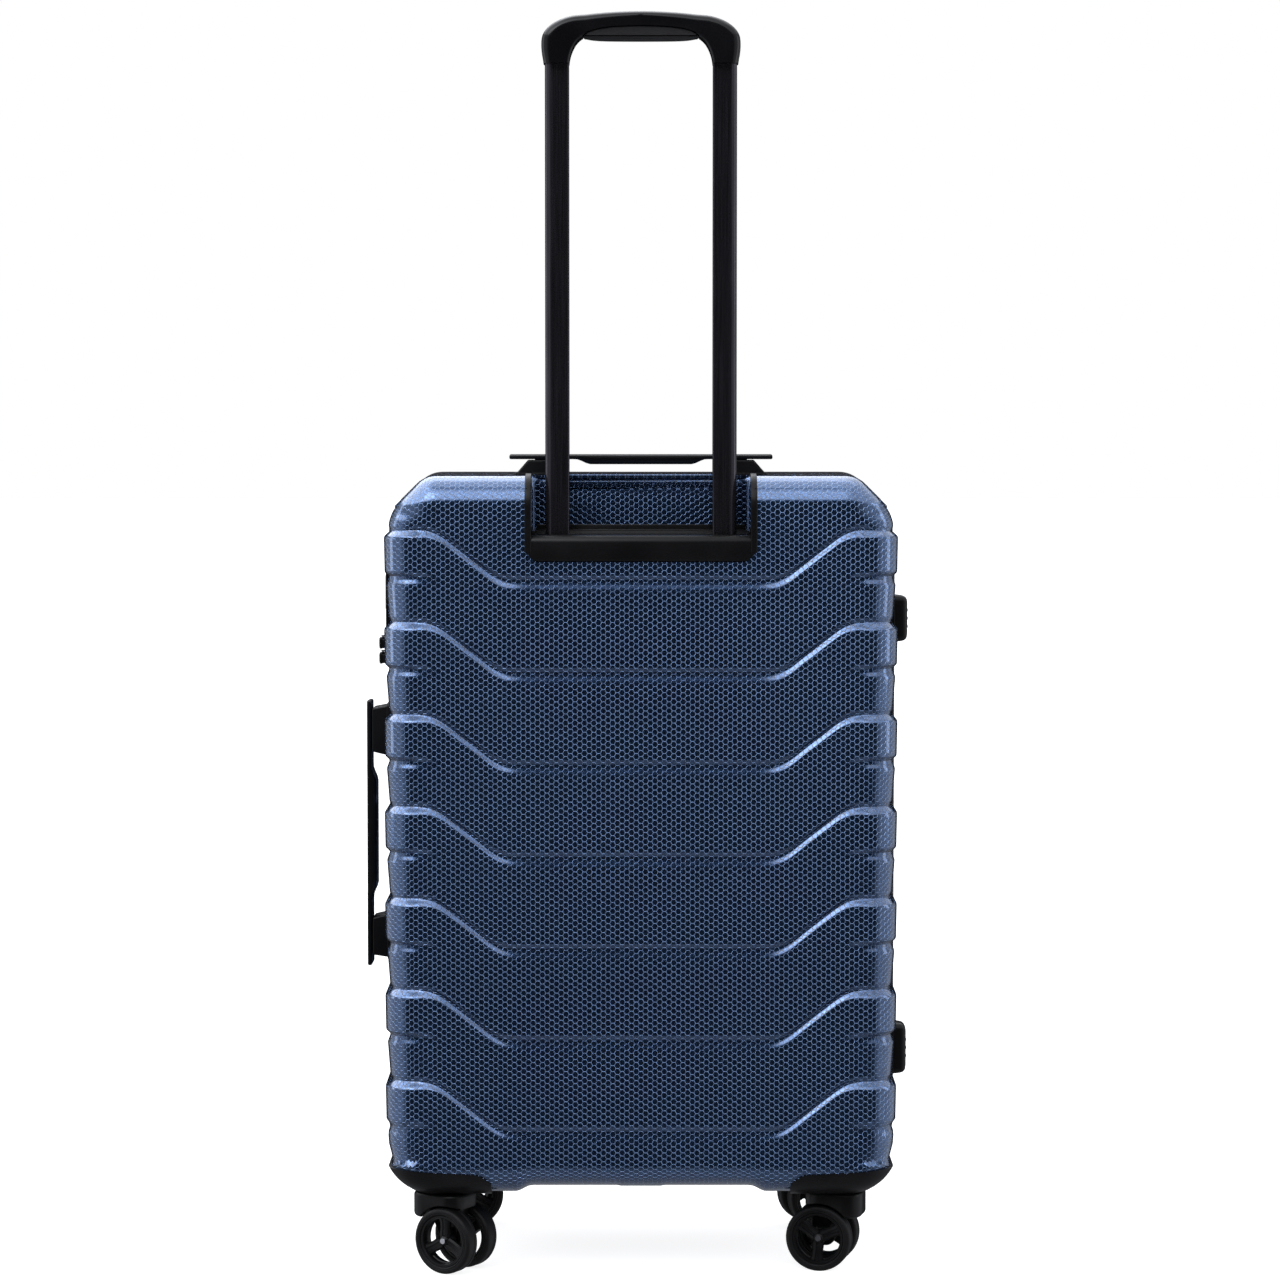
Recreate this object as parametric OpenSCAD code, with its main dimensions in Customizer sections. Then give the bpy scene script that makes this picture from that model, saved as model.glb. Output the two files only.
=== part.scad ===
// Hard shell suitcase on four twin-wheel swivel casters, with a pull-out trolley handle.
// Millimetres. +Z is up, +X is to the right seen from behind, the trolley is on the -Y side.
// The origin is on the floor, below the centre of the whole object's box.

/* [Case] */
// Width of the case across its side walls
body_w = 435; // [425:1:445]
// Depth of the case from face to face
body_d = 269; // [265:1:275]
// Height of the shell's underside above the floor
shell_z0 = 68.4; // [68:0.1:69]
// Height of the shell's top
shell_z1 = 677; // [674:0.5:680]
// Size of the slanted top corners
chamfer = 35.5; // [30:1:45]
// Rounding between the faces and the walls
face_r = 27; // [20:1:30]
// Rounding where the slanted corners meet the top and sides
corner_r = 24; // [18:1:26]
// Rounding of the bottom corners
foot_r = 42; // [36:1:44]
// Shell wall thickness
wall = 2.5; // [2:0.1:3]

/* [Trolley] */
// How far the trolley slides down
trolley_travel = 390; // [300:5:390]
// Distance from the centre to each tube
tube_x = 69.9; // [66:0.1:72]
// Width of a sliding tube
tube_w = 20.3; // [18:0.1:21]
// Depth of a sliding tube
tube_d = 12; // [11:0.1:13]
// Distance of the tubes' centres behind the middle of the case
tube_y = 119; // [117:0.5:120]
// Travel of the release trigger
trigger_travel = 4; // [3:0.5:4]

/* [Handles] */
// Length of the side carry handle
side_handle_l = 228.2; // [215:1:235]
// Length of the top carry handle
top_handle_l = 225.2; // [215:1:230]
// Width of the carry handles
handle_w = 32; // [26:1:34]
// How far a carry handle lifts
handle_lift = 8; // [4:1:10]

/* [Wheels] */
// Wheel radius
wheel_r = 28; // [27:0.5:29]
// Width of one tyre
tyre_w = 15; // [12:0.5:15]
// Distance from the caster's middle plane to each wheel's middle
wheel_u = 15; // [14.5:0.1:15.5]
// How far the axle trails behind the swivel axis
trail = 17; // [14:0.5:18]
// Axle radius
axle_r = 3; // [2.5:0.1:3.5]

/* [Hidden] */
$fn = 48;
sx = 3;                       // the side handle stands out further than the feet
w2 = body_w / 2;
d2 = body_d / 2;
ty = -tube_y;
grip_top = 1060.6;
entry_z = 627.5;
rec_x = 95;                   // recess half width
rec_z = 603.6;                // recess bottom
rec_y = -101;                 // recess back wall
hy = -36;                     // carry handles' middle
seam = 5;                     // half width of the zipper band
gap = 0.3;
swivel_x = 172;
swivel_y = 90;
mount_z = 88.1;
lock_y = [-42, -8];
lock_z = [511.4, 608.8];
pull_z = [517.5, 530.5];
black = [0.03, 0.03, 0.035];
blue = [0.05, 0.13, 0.33];
grey = [0.25, 0.25, 0.27];
steel = [0.7, 0.7, 0.72];

function unit(v) = v / norm(v);

// A convex polygon with a true arc of its own radius at each corner
module rpoly(p, r) {
    n = len(p);
    polygon([for (i = [0:n-1]) let (a = unit(p[(i+n-1)%n] - p[i]), b = unit(p[(i+1)%n] - p[i]),
        t = r[i] / tan(acos(a * b) / 2)) each [p[i] + a * t, p[i] + b * t]]);
    for (i = [0:n-1]) {
        a = unit(p[(i+n-1)%n] - p[i]);
        b = unit(p[(i+1)%n] - p[i]);
        translate(p[i] + unit(a + b) * r[i] / sin(acos(a * b) / 2)) circle(r[i]);
    }
}
module rrect(x0, y0, x1, y1, r)
    rpoly([[x0, y0], [x1, y0], [x1, y1], [x0, y1]], [r, r, r, r]);
// Extrudes a shape drawn in X and Z from one Y to another
module xz(y0, y1) translate([0, y1, 0]) rotate([90, 0, 0]) linear_extrude(y1 - y0) children();
// Extrudes a shape drawn in Y and Z from one X to another
module yz(x0, x1) translate([x0, 0, 0]) rotate([90, 0, 90]) linear_extrude(x1 - x0) children();
// Extrudes a shape drawn in X and Y from one Z to another
module xy(z0, z1) translate([0, 0, z0]) linear_extrude(z1 - z0) children();
module box(a, b) translate(a) cube(b - a);

// The case's outline seen from behind, inset by t
module outline(t) {
    w = w2 - t;
    z0 = shell_z0 + t;
    z1 = shell_z1 - t;
    c = chamfer - t * (2 - sqrt(2));
    r = corner_r - t;
    f = foot_r - t;
    rpoly([[-w, z0], [w, z0], [w, z1-c], [w-c, z1], [-w+c, z1], [-w, z1-c]], [f, f, r, r, r, r]);
}
// The whole closed case as one solid, inset by t
module body_solid(t) {
    r = face_r - t;
    d = d2 - t;
    u = (w2 + shell_z1 - chamfer) / sqrt(2) - t;
    intersection() {
        xz(-d, d) outline(t);
        xy(0, 800) rrect(-w2 + t, -d, w2 - t, d, r);
        yz(-400, 400) rrect(-d, shell_z0 + t, d, shell_z1 - t, r);
        rotate([0, 45, 0])
            yz(-1200, 1200) rpoly([[-d, -900], [d, -900], [d, u], [-d, u]], [5, 5, r, r]);
        rotate([0, -45, 0])
            yz(-1200, 1200) rpoly([[-d, -900], [d, -900], [d, u], [-d, u]], [5, 5, r, r]);
    }
}
module seam_ring(y0, y1) xz(y0, y1) difference() { outline(-1.5); outline(wall); }
module mount_block(s, t) box([s > 0 ? 127.5 - t : -207 - t, -d2 - 1, 60],
    [s > 0 ? 207 + t : -127.5 + t, -58 + t, mount_z + t]);
module recess(t) box([-rec_x - t, -d2 - 5, rec_z - t], [rec_x + t, rec_y + t, shell_z1 + 10]);

module back_shell() color(blue) translate([sx, 0, 0]) difference() {
    union() {
        difference() {
            intersection() { body_solid(0); box([-300, -200, 0], [300, -seam, 800]); }
            body_solid(wall);
        }
        intersection() { body_solid(0.5); recess(wall); }
    }
    recess(0);
    for (s = [-1, 1]) mount_block(s, 0);
    for (s = [-1, 1]) box([s * tube_x - 12.8, ty - 8.6, rec_z - 10],
        [s * tube_x + 12.8, ty + 8.6, rec_z + 1]);
    box([-230, lock_y[0], lock_z[0]], [-200, lock_y[1], lock_z[1]]);
}
// Dark frame that lines the sides and bottom of the trolley's recess
module trolley_bezel() color(black) translate([sx, 0, 0]) difference() {
    union() {
        box([-rec_x, -d2 + 0.2, rec_z], [rec_x, rec_y, 625.4]);
        box([-rec_x, rec_y - 1.6, 625], [rec_x, rec_y, 634.7]);
        for (s = [-1, 1]) box([s * rec_x - (s > 0 ? 1.8 : 0), -127, 625],
            [s * rec_x + (s > 0 ? 0 : 1.8), rec_y, 668]);
    }
    for (s = [-1, 1]) xy(600, 640)
        rrect(s*tube_x - tube_w/2 - gap, ty - tube_d/2 - gap, s*tube_x + tube_w/2 + gap,
            ty + tube_d/2 + gap, 3.2);
}
// Fixed tubes inside the case, with a guide slot for the lock pins
module outer_tubes() color(grey) translate([sx, 0, 0]) for (s = [-1, 1]) difference() {
    xy(86, rec_z - 0.1) rrect(s*tube_x - 12.2, ty - 8, s*tube_x + 12.2, ty + 8, 4);
    xy(80, 700) rrect(s*tube_x - 10.9, ty - 6.7, s*tube_x + 10.9, ty + 6.7, 3);
    box([s*tube_x - 2.7, ty, 100], [s*tube_x + 2.7, ty + 9, 560]);
}
// Foot that holds the lower ends of the fixed tubes
module tube_bracket() color(black) translate([sx, 0, 0]) difference() {
    intersection() { xz(-131.6, -107) rrect(-100, 74, 100, 112, 6); body_solid(wall + 0.2); }
    for (s = [-1, 1]) xy(86, 200) rrect(s*tube_x - 12.2, ty - 8, s*tube_x + 12.2, ty + 8, 4);
    box([-52, -140, 80], [52, -111, 120]);
}
module zipper_back() color(black) translate([sx, 0, 0]) seam_ring(-seam, -gap);
module zipper_front() color(black) translate([sx, 0, 0]) seam_ring(gap, seam);

// Trapezoid blocks under the top carry handle
module top_handle_bases() color(black) translate([sx, 0, 0]) for (s = [-1, 1]) difference() {
    translate([0, 0, 0]) xz(hy - handle_w/2, hy + handle_w/2)
        polygon(s > 0 ? [[61.8, shell_z1], [108, shell_z1], [97, 688.9], [66, 688.9]]
            : [[-108, shell_z1], [-61.8, shell_z1], [-66, 688.9], [-97, 688.9]]);
    box([s*84 - 7.3, hy - 9.3, shell_z1 + 1], [s*84 + 7.3, hy + 9.3, 700]);
}
module side_handle_bases() color(black) translate([sx, 0, 0])
    for (z = [[260, 299.6], [433.9, 479.4]]) difference() {
        xz(hy - handle_w/2, hy + handle_w/2)
            polygon([[-w2, z[0]], [-231.2, z[0] + 4], [-231.2, z[1] - 4], [-w2, z[1]]]);
        box([-240, hy - 9.3, (z[0]+z[1])/2 - 7.3], [-w2 - 1, hy + 9.3, (z[0]+z[1])/2 + 7.3]);
    }
module top_handle_grip() color(black) translate([sx, 0, 0]) {
    difference() {
        xz(hy - handle_w/2, hy + handle_w/2)
            rrect(-top_handle_l/2, 689.2, top_handle_l/2, 693.7, 2.2);
        for (s = [-1, 1]) box([s*84 - 7, hy - 9, 680], [s*84 + 7, hy + 9, 691]);
    }
    for (s = [-1, 1]) box([s*84 - 7, hy - 9, shell_z1 + 1.4], [s*84 + 7, hy + 9, 691]);
    xz(hy - 13, hy + 13) polygon([[-52, 689.3], [-40, 685], [40, 685], [52, 689.3]]);
}
module side_handle_grip() color(black) translate([sx, 0, 0]) {
    difference() {
        xz(hy - handle_w/2, hy + handle_w/2) rrect(-236, 253.8, -231.5, 253.8 + side_handle_l, 2.2);
        for (z = [279.8, 456.65]) box([-233.5, hy - 9, z - 7], [-230, hy + 9, z + 7]);
    }
    for (z = [279.8, 456.65]) box([-233.5, hy - 9, z - 7], [-w2 - 1.4, hy + 9, z + 7]);
    xz(hy - 13, hy + 13) polygon([[-231.6, 312], [-227.3, 326], [-227.3, 408], [-231.6, 422]]);
}
// Feet on the right wall, for laying the case on its side
module side_feet() color(black) translate([sx, 0, 0]) for (z = [[156.7, 201.4], [531.9, 572.7]])
    xz(-38, -12) rpoly([[w2, z[0]], [230, z[0] + 3], [230, z[1] - 3], [w2, z[1]]], [0.5, 4, 4, 0.5]);

module lock_case() color(black) translate([sx, 0, 0]) difference() {
    yz(-219.5, -206.5) rrect(lock_y[0], lock_z[0], lock_y[1], lock_z[1], 6);
    // dial window, button shaft, key bore and the two slots for the pull tabs
    box([-220, -34, 562], [-208, -16, 588]);
    box([-220, -31.2, 593.8], [-209, -18.8, 602.2]);
    translate([-220, -25, 551]) rotate([0, 90, 0]) cylinder(r = 4.56, h = 11);
    for (z = pull_z) box([-220, -27.5, z - 4.9], [-214, -19.5, z + 4.9]);
}
module dial(i) color(grey) translate([sx - 214.2, -25, 565.2 + 9.8 * i]) difference() {
    union() {
        translate([0, 0, -3]) cylinder(r = 6, h = 6);
        for (z = [-2.4, 0.4]) translate([0, 0, z]) cylinder(r = 6.15, h = 2);
    }
    translate([0, 0, -4]) cylinder(r = 1.5, h = 8);
}
module lock_button() color(black) translate([sx, 0, 0])
    yz(-221.3, -210.5) rrect(-31, 594, -19, 602, 2.5);
module key_cylinder() color(steel) translate([sx, 0, 0]) difference() {
    translate([-219.8, -25, 551]) rotate([0, 90, 0]) cylinder(r = 4.5, h = 10);
    box([-221, -25.5, 548.5], [-216, -24.5, 553.5]);
}
module zipper_sliders() color(grey) translate([sx, 0, 0]) for (z = pull_z) {
    yz(-222.3, -219.1) rrect(-4.5, z - 5.8, 4.5, z + 5.8, 2);
    for (s = [-1, 1]) box([-226.4, -1.6, z + s*5.2 - 0.6], [-222, 1.6, z + s*5.2 + 0.6]);
    translate([-224.9, 0, z - 5.2]) cylinder(r = 1, h = 10.4);
}
// Zip pull tab, its hooked end held in the lock
module puller(z) color(steel) translate([sx, 0, 0]) difference() {
    union() {
        box([-226.4, -24.5, z - 4.3], [-223.4, -1.2, z + 4.3]);
        translate([-224.9, 0, z - 4.3]) cylinder(r = 1.9, h = 8.6);
        box([-226.4, -1.4, z - 4.3], [-223.4, 0, z + 4.3]);
        box([-224, -24.5, z - 3.5], [-216, -22.5, z + 3.5]);
    }
    translate([-224.9, 0, z - 6]) cylinder(r = 1.05, h = 12);
    box([-228, -17, z - 2], [-220, -6, z + 2]);
}
module back_lining() color(grey) translate([sx, 0, 0]) difference() {
    intersection() { body_solid(4); box([-300, -97, 90], [300, -6.5, 800]); }
    intersection() { body_solid(5.2); box([-300, -95.8, 91.2], [300, 0, 800]); }
    box([-230, lock_y[0] - 1, lock_z[0] - 1], [-200, lock_y[1] + 1, lock_z[1] + 1]);
}
module front_lining() color(grey) translate([sx, 0, 0]) difference() {
    intersection() { body_solid(4); box([-300, 10.5, 90], [300, 200, 800]); }
    intersection() { body_solid(5.2); box([-300, 0, 91.2], [300, 200, 800]); }
}
module packing_straps() color(black) translate([sx, 0, 0]) for (s = [-1, 1])
    box([s > 0 ? 22 : -211, -15, 365], [s > 0 ? 211 : -22, -13.6, 390]);
module strap_buckle() color(black) translate([sx, 0, 0])
    xz(-18.5, -10) rrect(-22, 359, 22, 396, 5);
module divider_panel() color(grey) translate([sx, 0, 0]) xz(8, 9.4) intersection() {
    outline(6);
    translate([-250, 92]) square([500, 700]);
}
module caster_mount(s) intersection() {
    body_solid(0);
    difference() {
        mount_block(s, 0);
        translate([s * swivel_x, -swivel_y, 60]) cylinder(r = 5.06, h = 25.5);
    }
}
module caster_mounts_rear() color(black) translate([sx, 0, 0]) for (s = [-1, 1]) caster_mount(s);
module caster_mounts_front() color(black) translate([sx, 0, 0]) mirror([0, 1, 0])
    for (s = [-1, 1]) caster_mount(s);
// Fabric strip on the closed side that joins the two halves
module hinge_tape() color(black) translate([sx, 0, 0]) box([219.05, -11, 112], [220.1, 11, 610]);

module front_shell() color(blue) translate([sx, 0, 0]) difference() {
    intersection() { body_solid(0); box([-300, seam, 0], [300, 200, 800]); }
    body_solid(wall);
    mirror([0, 1, 0]) for (s = [-1, 1]) mount_block(s, 0);
}
module inner_tubes() color(black) translate([sx, 0, 0]) for (s = [-1, 1]) difference() {
    xy(540, 1041) rrect(s*tube_x - tube_w/2, ty - tube_d/2, s*tube_x + tube_w/2, ty + tube_d/2, 3);
    xy(500, 1100) rrect(s*tube_x - tube_w/2 + 1.3, ty - tube_d/2 + 1.3,
        s*tube_x + tube_w/2 - 1.3, ty + tube_d/2 - 1.3, 2);
}
module tube_glides() color(grey) translate([sx, 0, 0]) for (s = [-1, 1]) difference() {
    xy(514, 540) rrect(s*tube_x - 10.6, ty - 6.4, s*tube_x + 10.6, ty + 6.4, 3);
    translate([s*tube_x, ty - 4.6, 527]) rotate([-90, 0, 0]) cylinder(r = 2.56, h = 20);
    translate([s*tube_x, ty, 528]) cylinder(r = 3, h = 20);
}
module trolley_grip() color(black) translate([sx, 0, 0]) difference() {
    intersection() {
        xz(ty - 13, ty + 13) rpoly([[-82.4, 1019.3], [82.4, 1019.3], [82.4, grip_top],
            [-82.4, grip_top]], [3, 3, 27, 27]);
        yz(-100, 100) rrect(ty - 13, 1005, ty + 13, grip_top, 8);
        box([-100, ty - 14, 1019.3], [100, ty + 14, grip_top + 1]);
    }
    xz(ty - 20, ty + 20) rpoly([[-58.5, 1000], [58.5, 1000], [48, 1040.8], [-48, 1040.8]],
        [2, 2, 5, 5]);
    for (s = [-1, 1]) xy(1010, 1041) rrect(s*tube_x - tube_w/2 - 0.15, ty - tube_d/2 - 0.15,
        s*tube_x + tube_w/2 + 0.15, ty + tube_d/2 + 0.15, 3.15);
    box([-47.4, ty - 8.3, 1038], [47.4, ty + 8.3, 1053]);
    box([-73.2, ty - 4.5, 1040.9], [73.2, ty + 4.5, 1052]);
}
module release_trigger() color(grey) translate([sx, 0, 0]) {
    xz(ty - 8, ty + 8) rpoly([[-47, 1041.5], [-30, 1038.3], [30, 1038.3], [47, 1041.5],
        [47, 1044], [-47, 1044]], [1, 2.5, 2.5, 1, 1, 1]);
    box([-72.6, ty - 4, 1043.5], [72.6, ty + 4, 1047.5]);
}
module push_rods() color(steel) translate([sx, 0, 0]) for (s = [-1, 1])
    translate([s*tube_x, ty, 530.2]) cylinder(r = 2.5, h = 1043.5 - 530.2);
module lock_pins() color(steel) translate([sx, 0, 0]) for (s = [-1, 1])
    translate([s*tube_x, ty - 1.8, 527]) rotate([-90, 0, 0]) cylinder(r = 2.5, h = 9.6);

// One caster stands at its swivel axis; its wheels trail along +X of its own frame
function seat(c) = c == "rl" ? [-swivel_x, -swivel_y, -31] : c == "rr" ? [swivel_x, -swivel_y, 165]
    : c == "fl" ? [-swivel_x, swivel_y, 12] : [swivel_x, swivel_y, 196];
module at_caster(c) translate([sx + seat(c)[0], seat(c)[1], 0]) rotate([0, 0, seat(c)[2]])
    children();
module at_axle() translate([trail, 0, wheel_r]) rotate([-90, 0, 0]) children();
module fork(c) color(black) at_caster(c) {
    difference() {
        union() {
            difference() {
                xy(46, 67.8) rrect(-19, -21, 31, 21, 14);
                at_axle() translate([0, 0, -40]) cylinder(r = wheel_r + 2, h = 80);
            }
            xz(-6.5, 6.5) rpoly([[trail - 9, 19], [trail + 9, 19], [26, 62], [-12, 62]], [7, 7, 3, 3]);
            translate([0, 0, 67]) cylinder(r = 5, h = 17.5);
        }
        at_axle() translate([0, 0, -40]) cylinder(r = axle_r, h = 80);
    }
}
module axle(c) color(steel) at_caster(c) at_axle() translate([0, 0, -21]) cylinder(r = axle_r, h = 42);
module rim(c, s) color(grey) at_caster(c) at_axle() translate([0, 0, s * wheel_u - 6.75]) difference() {
    union() {
        difference() { cylinder(r = wheel_r - 7.5, h = 13.5); translate([0, 0, -1]) cylinder(r = 17.5, h = 20); }
        cylinder(r = 6.5, h = 13.5);
        for (a = [0, 120, 240]) rotate([0, 0, a + 30]) translate([4, -2.5, 3]) cube([14.5, 5, 8]);
    }
    translate([0, 0, -1]) cylinder(r = axle_r + 0.06, h = 20);
}
module tyre(c, s) color(black) at_caster(c) at_axle() translate([0, 0, s * wheel_u])
    rotate_extrude() rrect(wheel_r - 7.5, -tyre_w/2, wheel_r, tyre_w/2, 2.5);

back_shell();
trolley_bezel();
outer_tubes();
tube_bracket();
zipper_back();
top_handle_bases();
side_handle_bases();
side_feet();
lock_case();
zipper_sliders();
back_lining();
packing_straps();
strap_buckle();
caster_mounts_rear();
hinge_tape();
front_shell();
zipper_front();
front_lining();
divider_panel();
caster_mounts_front();
inner_tubes();
trolley_grip();
tube_glides();
release_trigger();
push_rods();
lock_pins();
top_handle_grip();
side_handle_grip();
dial(0);  // dial_1
dial(1);  // dial_2
dial(2);  // dial_3
lock_button();
key_cylinder();
puller(pull_z[0]);  // puller_1
puller(pull_z[1]);  // puller_2
fork("rl");  // fork_rl
axle("rl");  // axle_rl
rim("rl", -1);  // rim_rl_a
tyre("rl", -1);  // tyre_rl_a
rim("rl", 1);  // rim_rl_b
tyre("rl", 1);  // tyre_rl_b
fork("rr");  // fork_rr
axle("rr");  // axle_rr
rim("rr", -1);  // rim_rr_a
tyre("rr", -1);  // tyre_rr_a
rim("rr", 1);  // rim_rr_b
tyre("rr", 1);  // tyre_rr_b
fork("fl");  // fork_fl
axle("fl");  // axle_fl
rim("fl", -1);  // rim_fl_a
tyre("fl", -1);  // tyre_fl_a
rim("fl", 1);  // rim_fl_b
tyre("fl", 1);  // tyre_fl_b
fork("fr");  // fork_fr
axle("fr");  // axle_fr
rim("fr", -1);  // rim_fr_a
tyre("fr", -1);  // tyre_fr_a
rim("fr", 1);  // rim_fr_b
tyre("fr", 1);  // tyre_fr_b
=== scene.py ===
import math
import bmesh
import bpy
import numpy as np
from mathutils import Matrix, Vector


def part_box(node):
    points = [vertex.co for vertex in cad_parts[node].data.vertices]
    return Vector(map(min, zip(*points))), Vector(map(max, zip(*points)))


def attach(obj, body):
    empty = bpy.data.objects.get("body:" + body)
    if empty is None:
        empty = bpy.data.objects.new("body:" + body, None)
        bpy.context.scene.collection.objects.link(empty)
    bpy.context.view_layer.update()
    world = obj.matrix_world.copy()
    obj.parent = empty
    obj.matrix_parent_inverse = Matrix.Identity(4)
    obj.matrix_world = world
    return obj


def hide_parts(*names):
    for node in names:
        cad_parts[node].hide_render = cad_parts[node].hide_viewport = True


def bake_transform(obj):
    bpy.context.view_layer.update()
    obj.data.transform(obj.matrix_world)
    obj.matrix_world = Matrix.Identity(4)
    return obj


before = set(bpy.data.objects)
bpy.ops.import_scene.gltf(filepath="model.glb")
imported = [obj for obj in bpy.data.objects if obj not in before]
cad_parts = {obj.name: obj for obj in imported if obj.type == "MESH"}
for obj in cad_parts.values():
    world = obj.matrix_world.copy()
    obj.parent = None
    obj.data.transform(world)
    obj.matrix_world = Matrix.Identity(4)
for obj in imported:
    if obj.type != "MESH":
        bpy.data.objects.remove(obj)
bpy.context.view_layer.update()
MM = 0.001

# ---------------------------------------------------------------- key places, from the CAD nodes
def box(n):
    a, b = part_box(n)
    return np.array(a) * 1000, np.array(b) * 1000

s_lo, s_hi = box("back_shell")
CX = (s_lo[0] + s_hi[0]) / 2          # middle of the case
HW = (s_hi[0] - s_lo[0]) / 2          # half width
HD = -s_lo[1]                         # half depth
Z0, Z1 = s_lo[2], s_hi[2]
SEAM = -s_hi[1]
CH, FR, CR, BR = 35.5, 27.0, 24.0, 42.0   # slanted corner, face rounding, outline roundings
WALL = 2.5
t_lo, t_hi = box("inner_tubes")
TW, TD = 20.3, 12.0
TX = (t_hi[0] - t_lo[0]) / 2 - TW / 2
TY = (t_lo[1] + t_hi[1]) / 2
REC_X = 95.0
bz_lo, bz_hi = box("trolley_bezel")
REC_Z, REC_Y = bz_lo[2], bz_hi[1]

# ---------------------------------------------------------------- node helpers
class G:
    """A material's node tree with short calls."""
    def __init__(self, name):
        self.m = bpy.data.materials.new(name)
        self.m.use_nodes = True
        self.t = self.m.node_tree
        self.b = self.t.nodes["Principled BSDF"]

    def n(self, kind, **kw):
        x = self.t.nodes.new(kind)
        for k, v in kw.items():
            setattr(x, k, v)
        return x

    def link(self, a, b):
        self.t.links.new(a, b)

    def put(self, v, sock):
        if hasattr(v, "is_linked") or hasattr(v, "links"):
            self.link(v, sock)
        else:
            sock.default_value = v

    def math(self, op, a, b=None, c=None, clamp=False):
        x = self.n("ShaderNodeMath", operation=op, use_clamp=clamp)
        for i, v in enumerate((a, b, c)):
            if v is not None:
                self.put(v, x.inputs[i])
        return x.outputs[0]

    def smooth(self, v, lo, hi, a=0.0, b=1.0):
        x = self.n("ShaderNodeMapRange", interpolation_type="SMOOTHSTEP")
        self.put(v, x.inputs[0])
        for i, q in zip((1, 2, 3, 4), (lo, hi, a, b)):
            x.inputs[i].default_value = q
        return x.outputs[0]

    def mix(self, f, a, b):
        x = self.n("ShaderNodeMix", data_type="RGBA")
        self.put(f, x.inputs[0])
        self.put(a, x.inputs[6])
        self.put(b, x.inputs[7])
        return x.outputs[2]

    def noise(self, scale, detail=3.0, rough=0.5, vec=None):
        x = self.n("ShaderNodeTexNoise")
        x.inputs["Scale"].default_value = scale
        x.inputs["Detail"].default_value = detail
        x.inputs["Roughness"].default_value = rough
        if vec is not None:
            self.link(vec, x.inputs["Vector"])
        return x.outputs["Fac"]

    def obj(self):
        return self.n("ShaderNodeTexCoord").outputs["Object"]

    def bump(self, h, strength, dist, normal=None):
        x = self.n("ShaderNodeBump")
        x.inputs["Strength"].default_value = strength
        x.inputs["Distance"].default_value = dist
        self.link(h, x.inputs["Height"])
        if normal is not None:
            self.link(normal, x.inputs["Normal"])
        return x.outputs["Normal"]

    def set(self, **kw):
        for k, v in kw.items():
            self.put(v, self.b.inputs[k.replace("_", " ")])
        return self


def rgb(r, g, b):
    """sRGB 0-255 to linear."""
    f = lambda c: ((c / 255 + 0.055) / 1.055) ** 2.4 if c > 10 else c / 255 / 12.92
    return (f(r), f(g), f(b), 1.0)


def plastic(name, base, rough=0.35, spread=0.08, grain=0.0, scale=900.0, light=None, coat=0.0):
    """Moulded plastic: fine grain, faint cloudiness and slight handling marks."""
    g = G(name)
    co = g.obj()
    cloud = g.noise(14.0, 3.0, 0.55, co)
    col = g.mix(g.smooth(cloud, 0.35, 0.7), base,
            light or tuple(min(1, c * 1.5 + 0.001) for c in base[:3]) + (1,))
    g.set(Base_Color=col)
    r = g.math("MULTIPLY_ADD", g.noise(60.0, 4.0, 0.6, co), spread, rough - spread / 2)
    g.set(Roughness=r)
    g.b.inputs["Specular IOR Level"].default_value = 0.16
    if coat:
        g.b.inputs["Coat Weight"].default_value = coat
        g.b.inputs["Coat Roughness"].default_value = 0.12
    if grain:
        g.set(Normal=g.bump(g.noise(scale, 2.0, 0.6, co), grain, 0.0004))
    return g.m


def hex_height(g, u, v, sx, sy):
    """0 in the grooves and 1 on the cells of a hexagon pattern; u and v in millimetres."""
    a = math.sqrt(3)
    U = g.math("MULTIPLY", u, 1.0 / sx)
    V = g.math("MULTIPLY", v, 1.0 / sy)
    # flat-top cells: columns 1.5 apart, rows sqrt(3) apart, every other column half a row lower
    def cell(du, dv):
        x = g.math("FLOORED_MODULO", g.math("ADD", U, du), 3.0)
        y = g.math("FLOORED_MODULO", g.math("ADD", V, dv), a)
        return g.math("SUBTRACT", x, 1.5), g.math("SUBTRACT", y, a / 2)
    x1, y1 = cell(0.0, 0.0)
    x2, y2 = cell(1.5, a / 2)
    d1 = g.math("ADD", g.math("MULTIPLY", x1, x1), g.math("MULTIPLY", y1, y1))
    d2 = g.math("ADD", g.math("MULTIPLY", x2, x2), g.math("MULTIPLY", y2, y2))
    def edge(x, y):
        ax, ay = g.math("ABSOLUTE", x), g.math("ABSOLUTE", y)
        s = g.math("ADD", g.math("MULTIPLY", ax, a / 2), g.math("MULTIPLY", ay, 0.5))
        return g.math("SUBTRACT", a / 2, g.math("MAXIMUM", ay, s))
    pick = g.math("LESS_THAN", d1, d2)
    e = g.math("ADD", g.math("MULTIPLY", edge(x1, y1), pick),
               g.math("MULTIPLY", edge(x2, y2), g.math("SUBTRACT", 1.0, pick)))
    return e


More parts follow.
